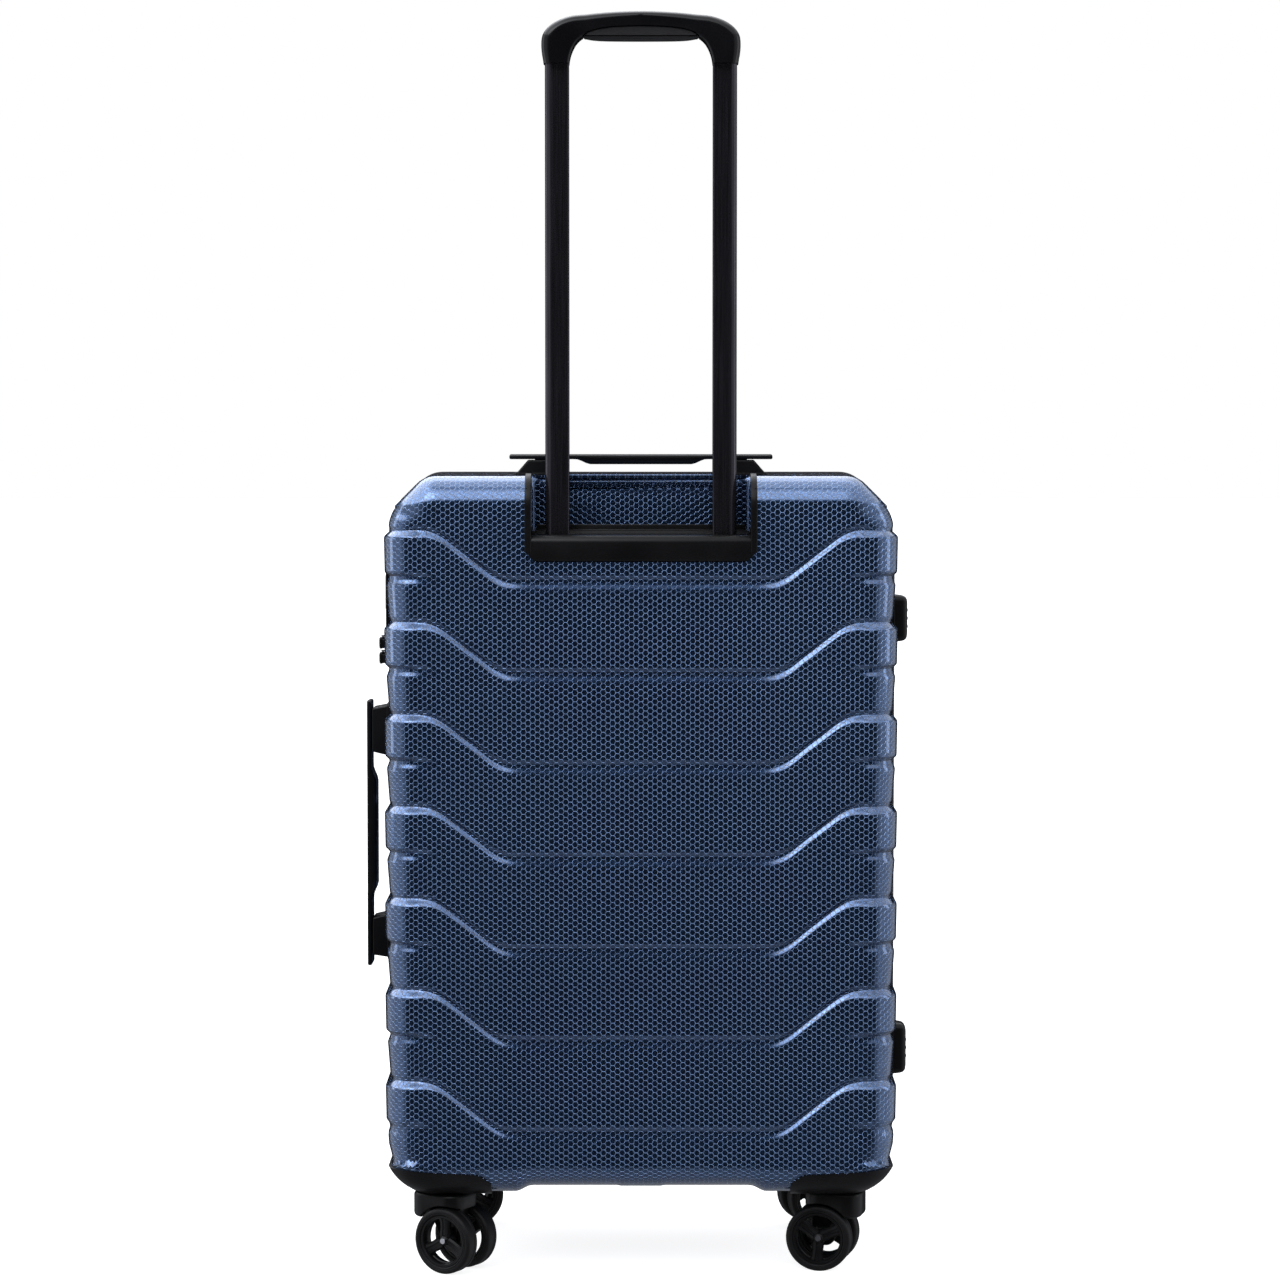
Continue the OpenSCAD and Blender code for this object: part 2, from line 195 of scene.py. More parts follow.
def shell_material():
    """Pearl blue polycarbonate with a raised hexagon texture; the grooves between the cells are painted a
    lighter grey-blue as a painted highlight.
    """
    g = G("shell_blue")
    uv = g.n("ShaderNodeUVMap", uv_map="mm")
    sep = g.n("ShaderNodeSeparateXYZ")
    g.link(uv.outputs[0], sep.inputs[0])
    u = g.math("MULTIPLY", sep.outputs[0], 1000.0)
    v = g.math("MULTIPLY", sep.outputs[1], 1000.0)
    e = hex_height(g, u, v, 3.93 / 1.5, 5.1 / math.sqrt(3))
    h = g.smooth(e, 0.0, 0.15)
    co = g.obj()
    fleck = g.noise(700.0, 2.0, 0.7, co)
    cloud = g.noise(5.0, 2.0, 0.5, co)
    base = g.mix(g.smooth(cloud, 0.3, 0.7), rgb(47, 69, 104), rgb(54, 78, 114))
    base = g.mix(g.smooth(fleck, 0.45, 0.75), base, rgb(82, 116, 164))
    # painted highlight: the hexagon grooves are coloured a lighter grey-blue than the cells, standing in for
    # the light their walls catch
    base = g.mix(g.math("SUBTRACT", 1.0, h), base, rgb(112, 133, 168))
    g.set(Base_Color=base, Metallic=0.94)
    g.set(Roughness=g.math("MULTIPLY_ADD", g.noise(90.0, 3.0, 0.6, co), 0.07, 0.125))
    g.b.inputs["Coat Weight"].default_value = 1.0
    g.b.inputs["Coat Roughness"].default_value = 0.08
    g.set(Normal=g.bump(h, 1.0, 0.0005, g.bump(g.noise(260.0, 2.0, 0.5, co), 0.05, 0.0003)))
    return g.m


M = {}
M["shell"] = shell_material()
M["black"] = plastic("black_satin", rgb(7, 7, 8), 0.34, 0.10, 0.10, 1500.0)
M["gloss"] = plastic("black_gloss", rgb(7, 7, 9), 0.20, 0.07, 0.03, 900.0, coat=0.15)
M["rough"] = plastic("black_rough", rgb(15, 15, 17), 0.52, 0.12, 0.35, 2600.0)
M["rim"] = plastic("rim_plastic", rgb(9, 9, 10), 0.30, 0.10, 0.10, 1500.0)


def tube_material():
    g = G("tube_black")
    co = g.obj()
    mp = g.n("ShaderNodeMapping")
    mp.inputs["Scale"].default_value = (1400.0, 1400.0, 14.0)
    g.link(co, mp.inputs[0])
    streak = g.n("ShaderNodeTexNoise")
    streak.inputs["Scale"].default_value = 1.0
    streak.inputs["Detail"].default_value = 3.0
    g.link(mp.outputs[0], streak.inputs["Vector"])
    s = streak.outputs["Fac"]
    g.set(Base_Color=g.mix(g.smooth(s, 0.3, 0.7), rgb(40, 39, 44), rgb(58, 57, 63)), Metallic=0.85)
    g.set(Roughness=g.math("MULTIPLY_ADD", s, 0.10, 0.15))
    g.set(Normal=g.bump(s, 0.06, 0.0002))
    return g.m


def metal(name, base, rough=0.28):
    g = G(name)
    co = g.obj()
    s = g.noise(400.0, 3.0, 0.6, co)
    g.set(Base_Color=g.mix(g.smooth(g.noise(30.0, 2.0, 0.5, co), 0.3, 0.7), base,
                           tuple(c * 0.8 for c in base[:3]) + (1,)), Metallic=1.0)
    g.set(Roughness=g.math("MULTIPLY_ADD", s, 0.14, rough - 0.07))
    g.set(Normal=g.bump(s, 0.05, 0.0002))
    return g.m


def cloth(name, a, b, pitch=0.6, rough=0.85, sheen=0.3):
    """Plain weave over Object coordinates, pitch in millimetres."""
    g = G(name)
    co = g.obj()
    sep = g.n("ShaderNodeSeparateXYZ")
    g.link(co, sep.inputs[0])
    k = 2 * math.pi / (pitch * MM)
    sx = g.math("SINE", g.math("MULTIPLY", g.math("ADD", sep.outputs[0], sep.outputs[1]), k))
    sz = g.math("SINE", g.math("MULTIPLY",
            g.math("ADD", sep.outputs[2], g.math("MULTIPLY", sep.outputs[1], 0.37)), k))
    w = g.math("MULTIPLY_ADD", g.math("MULTIPLY", sx, sz), 0.5, 0.5)
    cloud = g.noise(20.0, 3.0, 0.6, co)
    col = g.mix(g.math("MULTIPLY_ADD", w, 0.55, g.math("MULTIPLY", cloud, 0.4)), a, b)
    g.set(Base_Color=col, Roughness=g.math("MULTIPLY_ADD", cloud, 0.1, rough - 0.05))
    g.b.inputs["Sheen Weight"].default_value = sheen
    g.b.inputs["Sheen Roughness"].default_value = 0.4
    g.set(Normal=g.bump(w, 0.5, 0.0003))
    return g.m


M["tube"] = tube_material()
M["steel"] = metal("steel", rgb(176, 176, 182), 0.3)
M["gunmetal"] = metal("gunmetal", rgb(92, 92, 98), 0.32)
M["alu"] = metal("aluminium", rgb(190, 190, 194), 0.36)
M["tape"] = cloth("zipper_tape", rgb(18, 18, 21), rgb(42, 42, 47), 0.8)
M["lining"] = cloth("lining", rgb(70, 72, 80), rgb(108, 110, 120), 0.7)
M["mesh"] = cloth("divider_cloth", rgb(52, 54, 61), rgb(92, 94, 103), 1.1)
M["web"] = cloth("webbing", rgb(20, 20, 24), rgb(52, 52, 58), 1.3)
M["tyre"] = plastic("tyre_rubber", rgb(9, 9, 10), 0.50, 0.14, 0.2, 2200.0)

# ---------------------------------------------------------------- mesh helpers (millimetres in, metres out)
def make(name, verts, faces, mat, smooth=True, uv=None, angle=35.0):
    me = bpy.data.meshes.new(name)
    me.from_pydata([tuple(float(c) * MM for c in v) for v in verts], [], [tuple(f) for f in faces])
    me.update()
    o = bpy.data.objects.new(name, me)
    bpy.context.scene.collection.objects.link(o)
    for m in (mat if isinstance(mat, (list, tuple)) else [mat]):
        me.materials.append(m)
    if smooth:
        me.shade_smooth()
        if angle is not None:
            me.set_sharp_from_angle(angle=math.radians(angle))
    if uv is not None:
        layer = me.uv_layers.new(name="mm")
        idx = np.zeros(len(me.loops), int)
        me.loops.foreach_get("vertex_index", idx)
        layer.data.foreach_set("uv", (np.asarray(uv)[idx] * MM).astype(np.float32).ravel())
    return o


def apply_mods(o):
    dg = bpy.context.evaluated_depsgraph_get()
    me = bpy.data.meshes.new_from_object(o.evaluated_get(dg), preserve_all_data_layers=True, depsgraph=dg)
    old = o.data
    o.modifiers.clear()
    o.data = me
    bpy.data.meshes.remove(old)
    return o


def bevel(o, width, segments=3, angle=30.0):
    m = o.modifiers.new("bevel", "BEVEL")
    m.width = width * MM
    m.segments = segments
    m.limit_method = "ANGLE"
    m.angle_limit = math.radians(angle)
    m.harden_normals = False
    apply_mods(o)
    o.data.shade_smooth()
    o.data.set_sharp_from_angle(angle=math.radians(45))
    return o


def join(name, objs):
    objs = [o for o in objs if o]
    bm = bmesh.new()
    mats = []
    for o in objs:
        me = o.data
        me.transform(o.matrix_world)
        base = []
        for m in me.materials:
            if m not in mats:
                mats.append(m)
            base.append(mats.index(m))
        for p in me.polygons:
            p.material_index = base[p.material_index] if base else 0
        bm.from_mesh(me)
    me = bpy.data.meshes.new(name)
    bm.to_mesh(me)
    bm.free()
    for m in mats:
        me.materials.append(m)
    out = bpy.data.objects.new(name, me)
    bpy.context.scene.collection.objects.link(out)
    for o in objs:
        old = o.data
        bpy.data.objects.remove(o)
        bpy.data.meshes.remove(old)
    return out


def loft(rings, closed=True, caps=True):
    """Faces that join equal rings of points."""
    n = len(rings[0])
    verts = [p for r in rings for p in r]
    faces = []
    for i in range(len(rings) - 1):
        for j in range(n if closed else n - 1):
            k = (j + 1) % n
            faces.append((i * n + j, i * n + k, (i + 1) * n + k, (i + 1) * n + j))
    if caps:
        faces.append(tuple(range(n - 1, -1, -1)))
        faces.append(tuple((len(rings) - 1) * n + j for j in range(n)))
    return verts, faces


def solid(name, rings, mat, caps=True):
    """A body lofted through equal rings of points."""
    return make(name, *loft(rings, caps=caps), mat)


def rrect_pts(w, h, r, n=6, cx=0.0, cy=0.0):
    """Rounded rectangle, half sizes w and h, counter-clockwise."""
    pts = []
    for sx, sy, a0 in ((1, 1, 0), (-1, 1, 90), (-1, -1, 180), (1, -1, 270)):
        for i in range(n + 1):
            a = math.radians(a0 + 90 * i / n)
            pts.append((cx + sx * (w - r) + r * math.cos(a), cy + sy * (h - r) + r * math.sin(a)))
    return pts


def rounded_poly(pts, rs, n=5):
    """Closed 2D outline with each corner rounded by its own radius."""
    out = []
    k = len(pts)
    for i in range(k):
        p = np.array(pts[i], float)
        a = np.array(pts[i - 1], float) - p
        b = np.array(pts[(i + 1) % k], float) - p
        la, lb = np.linalg.norm(a), np.linalg.norm(b)
        a, b = a / la, b / lb
        ang = math.acos(max(-1, min(1, float(a @ b))))
        r = rs[i] if hasattr(rs, "__len__") else rs
        if r <= 0 or ang > math.pi - 1e-3:
            out.append(tuple(p))
            continue
        t = min(r / math.tan(ang / 2), la * 0.49, lb * 0.49)
        r = t * math.tan(ang / 2)
        c = p + (a + b) / np.linalg.norm(a + b) * (r / math.sin(ang / 2))
        s, e = p + a * t - c, p + b * t - c
        a0 = math.atan2(s[1], s[0])
        da = (math.atan2(e[1], e[0]) - a0 + math.pi) % (2 * math.pi) - math.pi
        for j in range(n + 1):
            w = a0 + da * j / n
            out.append((c[0] + r * math.cos(w), c[1] + r * math.sin(w)))
    return out


def slab(name, outline, a, b, place, mat, edge=0.8, seg=3):
    """A plate: the 2D outline between two heights, its rims rounded, placed by place(u, v, w)."""
    o2 = np.array(outline, float)
    nxt, prv = np.roll(o2, -1, 0), np.roll(o2, 1, 0)
    d1 = (o2 - prv) / np.maximum(np.linalg.norm(o2 - prv, axis=1, keepdims=True), 1e-9)
    d2 = (nxt - o2) / np.maximum(np.linalg.norm(nxt - o2, axis=1, keepdims=True), 1e-9)
    t = d1 + d2
    t /= np.maximum(np.linalg.norm(t, axis=1, keepdims=True), 1e-9)
    nrm = np.stack([t[:, 1], -t[:, 0]], 1)
    area = float(np.sum(o2[:, 0] * nxt[:, 1] - nxt[:, 0] * o2[:, 1]))
    if area < 0:
        nrm = -nrm
    rings = []
    for i in range(seg + 1):
        q = math.pi / 2 * i / seg
        rings.append((o2 - nrm * edge * (1 - math.sin(q)), a + edge * (1 - math.cos(q))))
    for i in range(seg + 1):
        q = math.pi / 2 * i / seg
        rings.append((o2 - nrm * edge * (1 - math.cos(q)), b - edge * (1 - math.sin(q))))
    pts = [[place(p[0], p[1], w) for p in r] for r, w in rings]
    v, f = loft(pts)
    o = make(name, v, f, mat)
    fix_normals(o)
    return o


def fix_normals(o):
    bm = bmesh.new()
    bm.from_mesh(o.data)
    bmesh.ops.recalc_face_normals(bm, faces=bm.faces)
    bm.to_mesh(o.data)
    bm.free()
    return o


# ---------------------------------------------------------------- the two shells
PITCH = 77.32
LOW = [124.7 + PITCH * i for i in range(7)]
STEP_UP = 41.7


def seq(a, b, st):
    """Steps from a up to b, b left out."""
    n = max(1, int(round((b - a) / st)))
    return [a + (b - a) * i / n for i in range(n)]


def step(t):
    t = np.clip(t, 0, 1)
    return t * t * (3 - 2 * t)


def rise(x):
    """How far a groove has climbed at this distance from the middle: a straight slope with eased ends."""
    a = np.abs(np.asarray(x, float))
    lo, hi, e = 119.0, 173.0, 11.0
    k = STEP_UP / (hi - lo)
    f = lambda t: np.where(t < -e, 0.0, np.where(t > e, t, (t + e) ** 2 / (4 * e)))
    return k * (f(a - lo) - f(a - hi))


def relief(u, z):
    """Outward offset in millimetres at the unfolded distance u from the middle and the height z:
    chevron grooves on the face, stepped blocks round the sides."""
    w = z - rise(u)
    au = np.abs(u)
    s = step((au - 165.0) / 34.0)
    low = np.array(LOW + [LOW[-1] + PITCH])
    ph = low[None, :] - w.reshape(-1, 1)                # distance below each line
    below = np.where(ph < 0, 1e9, ph).min(1).reshape(w.shape)
    above = np.where(ph > 0, 1e9, -ph).min(1).reshape(w.shape)
    wide = 11.5 - 5.5 * step((au - 92.0) / 50.0)
    deep = 1.8 + 0.7 * step((au - 92.0) / 50.0)
    mid = np.where(above < 4.2, -deep * (1 - step(above / 4.2)), 0.0)
    mid = np.where(below < wide, np.minimum(mid, -deep * (1 - step(below / wide))), mid)
    side = np.interp(below, [0, 0.6, 5.5, 7.0, 34.5, 36.0, 39.0, 40.5, 46.5, 73.5, 76.0, 77.4],
                     [-5.3, -5.0, -0.3, 0.0, -0.5, -0.9, -4.0, -4.0, -1.9, -4.0, -4.9, -5.3])
    d = mid * (1 - s) + side * s
    return np.where((w < LOW[0] - 70) | (w > LOW[-1] + 20), d * 0, d)


def floor_lift(x, z):
    """The floor of the case is set up between the caster corners."""
    ax = np.abs(x)
    up = 5.2 * (1 - step((ax - 92.0) / 14.0)) - 0.7 * (1 - step((ax - 18.0) / 2.0))
    return up * (1 - step((z - Z0) / 34.0))


def shell_mesh(name, back):
    """One half: a grid that follows the grooves on the face, swept round the blend to the seam."""
    wi, zi0, zi1 = HW - FR, Z0 + FR, Z1 - FR
    ci = CH - FR * (2 - math.sqrt(2))
    bi = BR - FR
    cols = []
    for a, b, st in ((0, REC_X, 4.2), (REC_X, 108, 3.2), (108, 131, 2.1), (131, 162, 2.8),
                     (162, wi - bi, 2.1), (wi - bi, wi - 5, 1.9), (wi - 5, wi, 0.9)):
        cols += seq(a, b, st)
    cols.append(wi)
    cols = np.array([-c for c in cols[::-1]] + cols[1:])
    ac = np.abs(cols)
    top = np.where(ac <= wi - ci, zi1, zi1 - (ac - (wi - ci)))
    bot = zi0 + np.where(ac > wi - bi, bi - np.sqrt(np.maximum(0, bi ** 2 - (ac - (wi - bi)) ** 2)), 0)
    ups = rise(cols)
    rows = []
    near = [-11.2, -9.4, -7.7, -6.1, -4.6, -3.2, -1.9, -0.8, 0.0, 0.8, 1.7, 2.6, 3.5, 4.4]
    g0 = LOW[0] + ups
    for i in range(12):
        rows.append(bot + (g0 - 12.6 - bot) * i / 12)
    for k, g in enumerate(LOW):
        c = g + ups
        rows += [c + o for o in near]
        if k + 1 < len(LOW):
            rows += [c + o for o in (6, 9, 12.5, 17, 21.5, 26, 29, 31, 33, 35, 36.8, 38.3, 39.8, 41.3,
                                     42.8, 45.5, 49.5, 54, 58.5, 62, 64.6)]
    last = LOW[-1] + ups + 4.4
    rec_row = REC_Z + ups
    for i in range(1, 5):
        rows.append(last + (np.minimum(rec_row, top) - last) * i / 4)
    base = rows[-1]
    nt = 16
    for i in range(1, nt + 1):
        rows.append(base + (top - base) * i / nt)
    R = np.array(rows)
    n_r, n_c = R.shape
    # near the slanted corners the rows crowd under the edge, never over it
    for j in range(n_c):
        room = top[j] - 0.45 * (n_r - 1 - np.arange(n_r))
        bad = np.where(R[:, j] > room + 1e-6)[0]
        bad = bad[bad < n_r - 1]
        if len(bad):
            i0 = bad[0] - 1
            R[i0:, j] = np.linspace(R[i0, j], top[j], n_r - i0)
    X = np.broadcast_to(cols, R.shape)
    idx = lambda i, j: i * n_c + j
    ring = [idx(0, j) for j in range(n_c - 1)] + [idx(i, n_c - 1) for i in range(n_r - 1)] \
        + [idx(n_r - 1, j) for j in range(n_c - 1, 0, -1)] + [idx(i, 0) for i in range(n_r - 1, 0, -1)]
    px, pz = X.ravel()[ring], R.ravel()[ring]
    # the outer outline: straight out from the inner edge, fanned out round each corner
    outer = [(HW, Z1 - CH), (HW - CH, Z1)]
    t = CR * math.tan(math.radians(22.5))
    qx, qz, dirs = np.zeros(len(ring)), np.zeros(len(ring)), np.zeros((len(ring), 2))
    r2 = math.sqrt(0.5)

    for m in range(len(ring)):
        x, z = abs(px[m]), pz[m]
        sg = -1.0 if px[m] < 0 else 1.0
        if x > wi - bi and z < zi0 + bi:
            c = np.array([wi - bi, zi0 + bi])
            n = np.array([x, z]) - c
            n /= np.linalg.norm(n)
            q = c + n * BR
        else:
            # unfolded position along the inner edge from the side, over the slanted corner, to the top
            k1, k2 = np.array([wi, zi1 - ci]), np.array([wi - ci, zi1])
            if z >= zi1 - 1e-6:
                seg, along = 2, (wi - ci) - x
            elif x >= wi - 1e-6:
                seg, along = 0, z - (zi1 - ci)
            elif z <= zi0 + 1e-6:
                seg, along = 3, 0
            else:
                seg, along = 1, np.linalg.norm(np.array([x, z]) - k1)
            n = {0: np.array([1.0, 0]), 1: np.array([r2, r2]), 2: np.array([0, 1.0]),
                    3: np.array([0, -1.0])}[seg]
            q = np.array([x, z]) + n * FR
            L = math.hypot(ci, ci)
            for kk, (k, na, nb) in enumerate(((k1, np.array([1.0, 0]), np.array([r2, r2])),
                                              (k2, np.array([r2, r2]), np.array([0, 1.0])))):
                # signed distance past this corner, or None away from it
                if kk == 0:
                    pos = along if seg in (0, 1) else None
                else:
                    pos = {1: along - L, 2: along}.get(seg)
                if pos is None or pos < -12.0 or pos > 12.0:
                    continue
                if (kk == 0 and pos > L / 2) or (kk == 1 and pos < -L / 2):
                    continue
                lo_, hi_ = (-12.0, min(12.0, L / 2)) if kk == 0 else (-min(12.0, L / 2), 12.0)
                ea = np.array([-na[1], na[0]])
                eb = np.array([-nb[1], nb[0]])
                A = k + ea * lo_ + na * FR
                B = k + eb * hi_ + nb * FR
                # true corner of the outer outline and its arc
                C = np.array(outer[kk])
                a_len = float((C - A) @ ea) - t
                b_len = float((B - C) @ eb) - t
                arc = CR * math.pi / 4
                tot = a_len + arc + b_len
                f = (pos - lo_) / (hi_ - lo_)
                d = f * tot
                ang0 = math.atan2(na[1], na[0])
                if d < a_len:
                    q = A + ea * d
                elif d > a_len + arc:
                    q = B - eb * (tot - d)
                else:
                    cc = C - ea * t - na * CR
                    an = ang0 + (d - a_len) / CR
                    q = cc + CR * np.array([math.cos(an), math.sin(an)])
                an = ang0 + (math.pi / 4) * float(step(np.array(f)))
                n = np.array([math.cos(an), math.sin(an)])
        qx[m], qz[m] = q[0] * sg, q[1]
        dirs[m] = (n[0] * sg, n[1])
    ang = np.linspace(0, math.pi / 2, 15)[1:]
    sweep = [(math.sin(a), -HD + FR * (1 - math.cos(a)), FR * a) for a in ang]
    ywall = -HD + FR
    stops = sorted(set([round(float(y), 3) for y in np.arange(ywall + 5.0, -18.0, 5.4)] + [REC_Y, -16, -14,
            -12, -10.5, -9, -SEAM]))
    for yv in stops:
        if yv > ywall + 0.5:
            sweep.append((1.0, float(yv), FR * math.pi / 2 + yv - ywall))
    verts = [(x, -HD, z) for x, z in zip(X.ravel(), R.ravel())]
    uvs = [(x, z) for x, z in zip(X.ravel(), R.ravel())]
    n_ring = len(ring)
    prev = ring
    faces = []
    for i in range(n_r - 1):
        for j in range(n_c - 1):
            faces.append((idx(i, j), idx(i, j + 1), idx(i + 1, j + 1), idx(i + 1, j)))
    norms = [(0, -1, 0)] * len(verts)
    for f, y, arc in sweep:
        start = len(verts)
        a = min(math.pi / 2, arc / FR)
        for m in range(n_ring):
            verts.append((px[m] + (qx[m] - px[m]) * f, y, pz[m] + (qz[m] - pz[m]) * f))
            uvs.append((px[m] + dirs[m][0] * arc, pz[m] + dirs[m][1] * arc))
            norms.append((dirs[m][0] * math.sin(a), -math.cos(a), dirs[m][1] * math.sin(a)))
        cur = list(range(start, start + n_ring))
        for m in range(n_ring):
            mm = (m + 1) % n_ring
            faces.append((prev[m], cur[m], cur[mm], prev[mm]))
        prev = cur
    V, U, N = np.array(verts, float), np.array(uvs, float), np.array(norms, float)
    fade = 1 - step((V[:, 1] + 17.0) / 8.0)             # flat band beside the zip
    fade *= 1 - step((V[:, 2] - (Z1 - 34.0)) / 14.0)
    fade *= step((V[:, 2] - (Z0 + 4.0)) / 16.0)
    # the walls lean in slightly towards the face
    lean = np.clip((-V[:, 1] - SEAM) / (HD - SEAM), 0, 1) * 1.6
    side_n = N.copy()
    side_n[:, 1] = 0
    V -= side_n * lean[:, None]
    V += N * (relief(U[:, 0], V[:, 2]) * fade)[:, None]
    keep = []
    for fc in faces:
        c = V[list(fc)].mean(0)
        if back and abs(c[0]) < REC_X and c[2] > REC_Z and c[1] < REC_Y:
            continue
        keep.append(fc)
    V[:, 2] += floor_lift(V[:, 0], V[:, 2])
    V[:, 0] += CX
    if not back:
        V[:, 1] *= -1
        keep = [tuple(reversed(fc)) for fc in keep]
    o = make(name, V, keep, M["shell"], uv=U, angle=None)
    bm = bmesh.new()
    bm.from_mesh(o.data)
    bmesh.ops.delete(bm, geom=[v for v in bm.verts if not v.link_faces], context="VERTS")
    bm.to_mesh(o.data)
    bm.free()
    m = o.modifiers.new("wall", "SOLIDIFY")
    m.thickness = WALL * MM
    m.offset = -1
    m.use_rim = True
    apply_mods(o)
    o.data.shade_smooth()
    o.data.set_sharp_from_angle(angle=math.radians(40))
    return o


back = shell_mesh("back_shell_skin", True)
front = shell_mesh("front_shell_skin", False)


def recess_liner():
    """Back and side walls of the trolley's recess: rounded inner corners and a rolled top edge."""
    r = 13.0
    prof = []
    for i in range(4):
        prof.append((-REC_X, -HD + 3.2 + (REC_Y - r + HD - 3.2) * i / 4))
    for i in range(9):
        a = math.pi / 2 * i / 8
        prof.append((-REC_X + r * (1 - math.cos(a)), REC_Y - r + r * math.sin(a)))
    for i in range(1, 17):
        prof.append((-REC_X + r + (2 * REC_X - 2 * r) * i / 17, REC_Y))
    full = prof + [(-x, y) for x, y in prof[::-1]]
    arcs = np.concatenate([[0], np.cumsum([math.dist(full[i], full[i + 1]) for i in range(len(full) - 1)])])
    arcs -= arcs[-1] / 2
    v, uv, f = [], [], []
    zs = [REC_Z, REC_Z + 12, REC_Z + 24, REC_Z + 36, REC_Z + 48, Z1 - 18, Z1 - 12]
    roll = 7.0
    n = len(full)
    for z in zs:
        for (x, y), a in zip(full, arcs):
            v.append((x + CX, y, z))
            uv.append((a, z))
    for i in range(1, 7):
        q = math.pi / 2 * i / 6
        for (x, y), a in zip(full, arcs):
            inner = 1.0 if abs(x) < REC_X - 0.5 else 0.0
            zt = Z1 - FR + math.sqrt(max(0.0, FR * FR - max(0.0, -HD + FR - y) ** 2)) - 1.2
            z = Z1 - 1.6 - roll + roll * math.sin(q)
            v.append((x + CX, y + inner * roll * 0.9 * (1 - math.cos(q)), min(z, zt)))
            uv.append((a, Z1 - 8.6 + roll * q))
    rows = len(v) // n
    for i in range(rows - 1):
        for j in range(n - 1):
            a = i * n + j
            f.append((a, a + 1, a + n + 1, a + n))
    o = make("recess_skin", v, f, M["shell"], uv=uv)
    m = o.modifiers.new("wall", "SOLIDIFY")
    m.thickness = 1.4 * MM
    m.offset = -1
    apply_mods(o)
    o.data.shade_smooth()
    o.data.set_sharp_from_angle(angle=math.radians(40))
    return o


rec = recess_liner()
for o in (back, rec):
    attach(o, "case")
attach(front, "lid")
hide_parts("back_shell")
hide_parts("front_shell")


# ---------------------------------------------------------------- shared shapers
def use(o, body, *nodes):
    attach(o, body)
    if nodes:
        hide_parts(*nodes)
    return o


def soften(o, angle=38):
    fix_normals(o)
    o.data.shade_smooth()
    o.data.set_sharp_from_angle(angle=math.radians(angle))
    return o


def boolean(o, other, op="DIFFERENCE", keep=False):
    fix_normals(o)
    fix_normals(other)
    m = o.modifiers.new("b", "BOOLEAN")
    m.operation, m.object, m.solver = op, other, "EXACT"
    apply_mods(o)
    if not keep:
        me = other.data
        bpy.data.objects.remove(other)
        bpy.data.meshes.remove(me)
    return o


def round_edges(o, w, seg=3, ang=30):
    bm = bmesh.new()
    bm.from_mesh(o.data)
    bmesh.ops.remove_doubles(bm, verts=bm.verts, dist=1e-6)
    bmesh.ops.dissolve_limit(bm, angle_limit=math.radians(1.0), verts=bm.verts, edges=bm.edges)
    bm.to_mesh(o.data)
    bm.free()
    return bevel(o, w, seg, ang)


def weld(o):
    """Merges points that lie together, as where a ring closes on itself."""
    bm = bmesh.new()
    bm.from_mesh(o.data)
    bmesh.ops.remove_doubles(bm, verts=bm.verts, dist=1e-7)
    bm.to_mesh(o.data)
    bm.free()


def rod(name, a, b, r, mat, n=24, edge=0.3):
    """A round bar between two points with eased ends."""
    a, b = np.array(a, float), np.array(b, float)
    d = b - a
    L = np.linalg.norm(d)
    d /= L
    u = np.cross(d, [0, 0, 1.0] if abs(d[2]) < 0.9 else [1.0, 0, 0])
    u /= np.linalg.norm(u)
    w = np.cross(d, u)
    rings = [[tuple(a + d * h + (u * math.cos(t) + w * math.sin(t)) * q)
              for t in (2 * math.pi * i / n for i in range(n))]
             for h, q in ((0, r - edge), (edge * 0.3, r - edge * 0.3), (edge, r), (L - edge, r),
                     (L - edge * 0.3, r - edge * 0.3), (L, r - edge))]
    v, f = loft(rings)
    return soften(make(name, v, f, mat))


def wire(name, path, r, mat, n=10, closed=False):
    """A round wire along a path of points."""
    P = np.array(path, float)
    k = len(P)
    T = (np.roll(P, -1, 0) - np.roll(P, 1, 0)) if closed else np.gradient(P, axis=0)
    T /= np.linalg.norm(T, axis=1, keepdims=True)
    u = np.cross(T[0], [0.13, 0.7, 0.7])
    rings = []
    for i in range(k):
        u = u - T[i] * (u @ T[i])
        u /= np.linalg.norm(u)
        w = np.cross(T[i], u)
        turn = [2 * math.pi * j / n for j in range(n)]
        rings.append([tuple(P[i] + (u * math.cos(t) + w * math.sin(t)) * r) for t in turn])
    if closed:
        rings.append(rings[0])
    v, f = loft(rings, caps=not closed)
    o = make(name, v, f, mat)
    weld(o)
    return soften(o)


def turned(name, profile, place, mat, n=48, angle=32):
    """A turned form from a closed (radius, height) profile; place(x, y, h) puts it in the world."""
    k = len(profile)
    v = [place(r * math.cos(2 * math.pi * i / n), r * math.sin(2 * math.pi * i / n),
            h) for i in range(n) for r, h in profile]
    f = [(i * k + j, ((i + 1) % n) * k + j, ((i + 1) % n) * k + (j + 1) % k, i * k + (j + 1) % k)
         for i in range(n) for j in range(k)]
    return soften(make(name, v, f, mat), angle)


def body_form(grow, z_top, back):
    """The case's lower end as a closed solid, grown by a little."""
    sg = 1 if back else -1
    rings = []
    F, B = FR + grow, BR + grow
    for i in range(13):
        a = math.pi / 2 * i / 12
        d = F * (1 - math.sin(a))
        y = -(HD + grow) + F * (1 - math.cos(a))
        b = max(B - d, 1.0)
        w, z = HW + grow - d, Z0 - grow + d
        ring = [(-w, z_top)]
        ring += [(-w + b - b * math.cos(q),
                z + b - b * math.sin(q)) for q in (math.pi / 2 * j / 14 for j in range(15))]
        ring += [(w - b + b * math.sin(q),
                z + b - b * math.cos(q)) for q in (math.pi / 2 * j / 14 for j in range(15))]
        ring.append((w, z_top))
        rings.append([(x + CX, y * sg, zz) for x, zz in ring])
    rings.append([(x, -20.0 * sg, z) for x, _, z in rings[-1]])
    return solid("form", rings, M["black"])


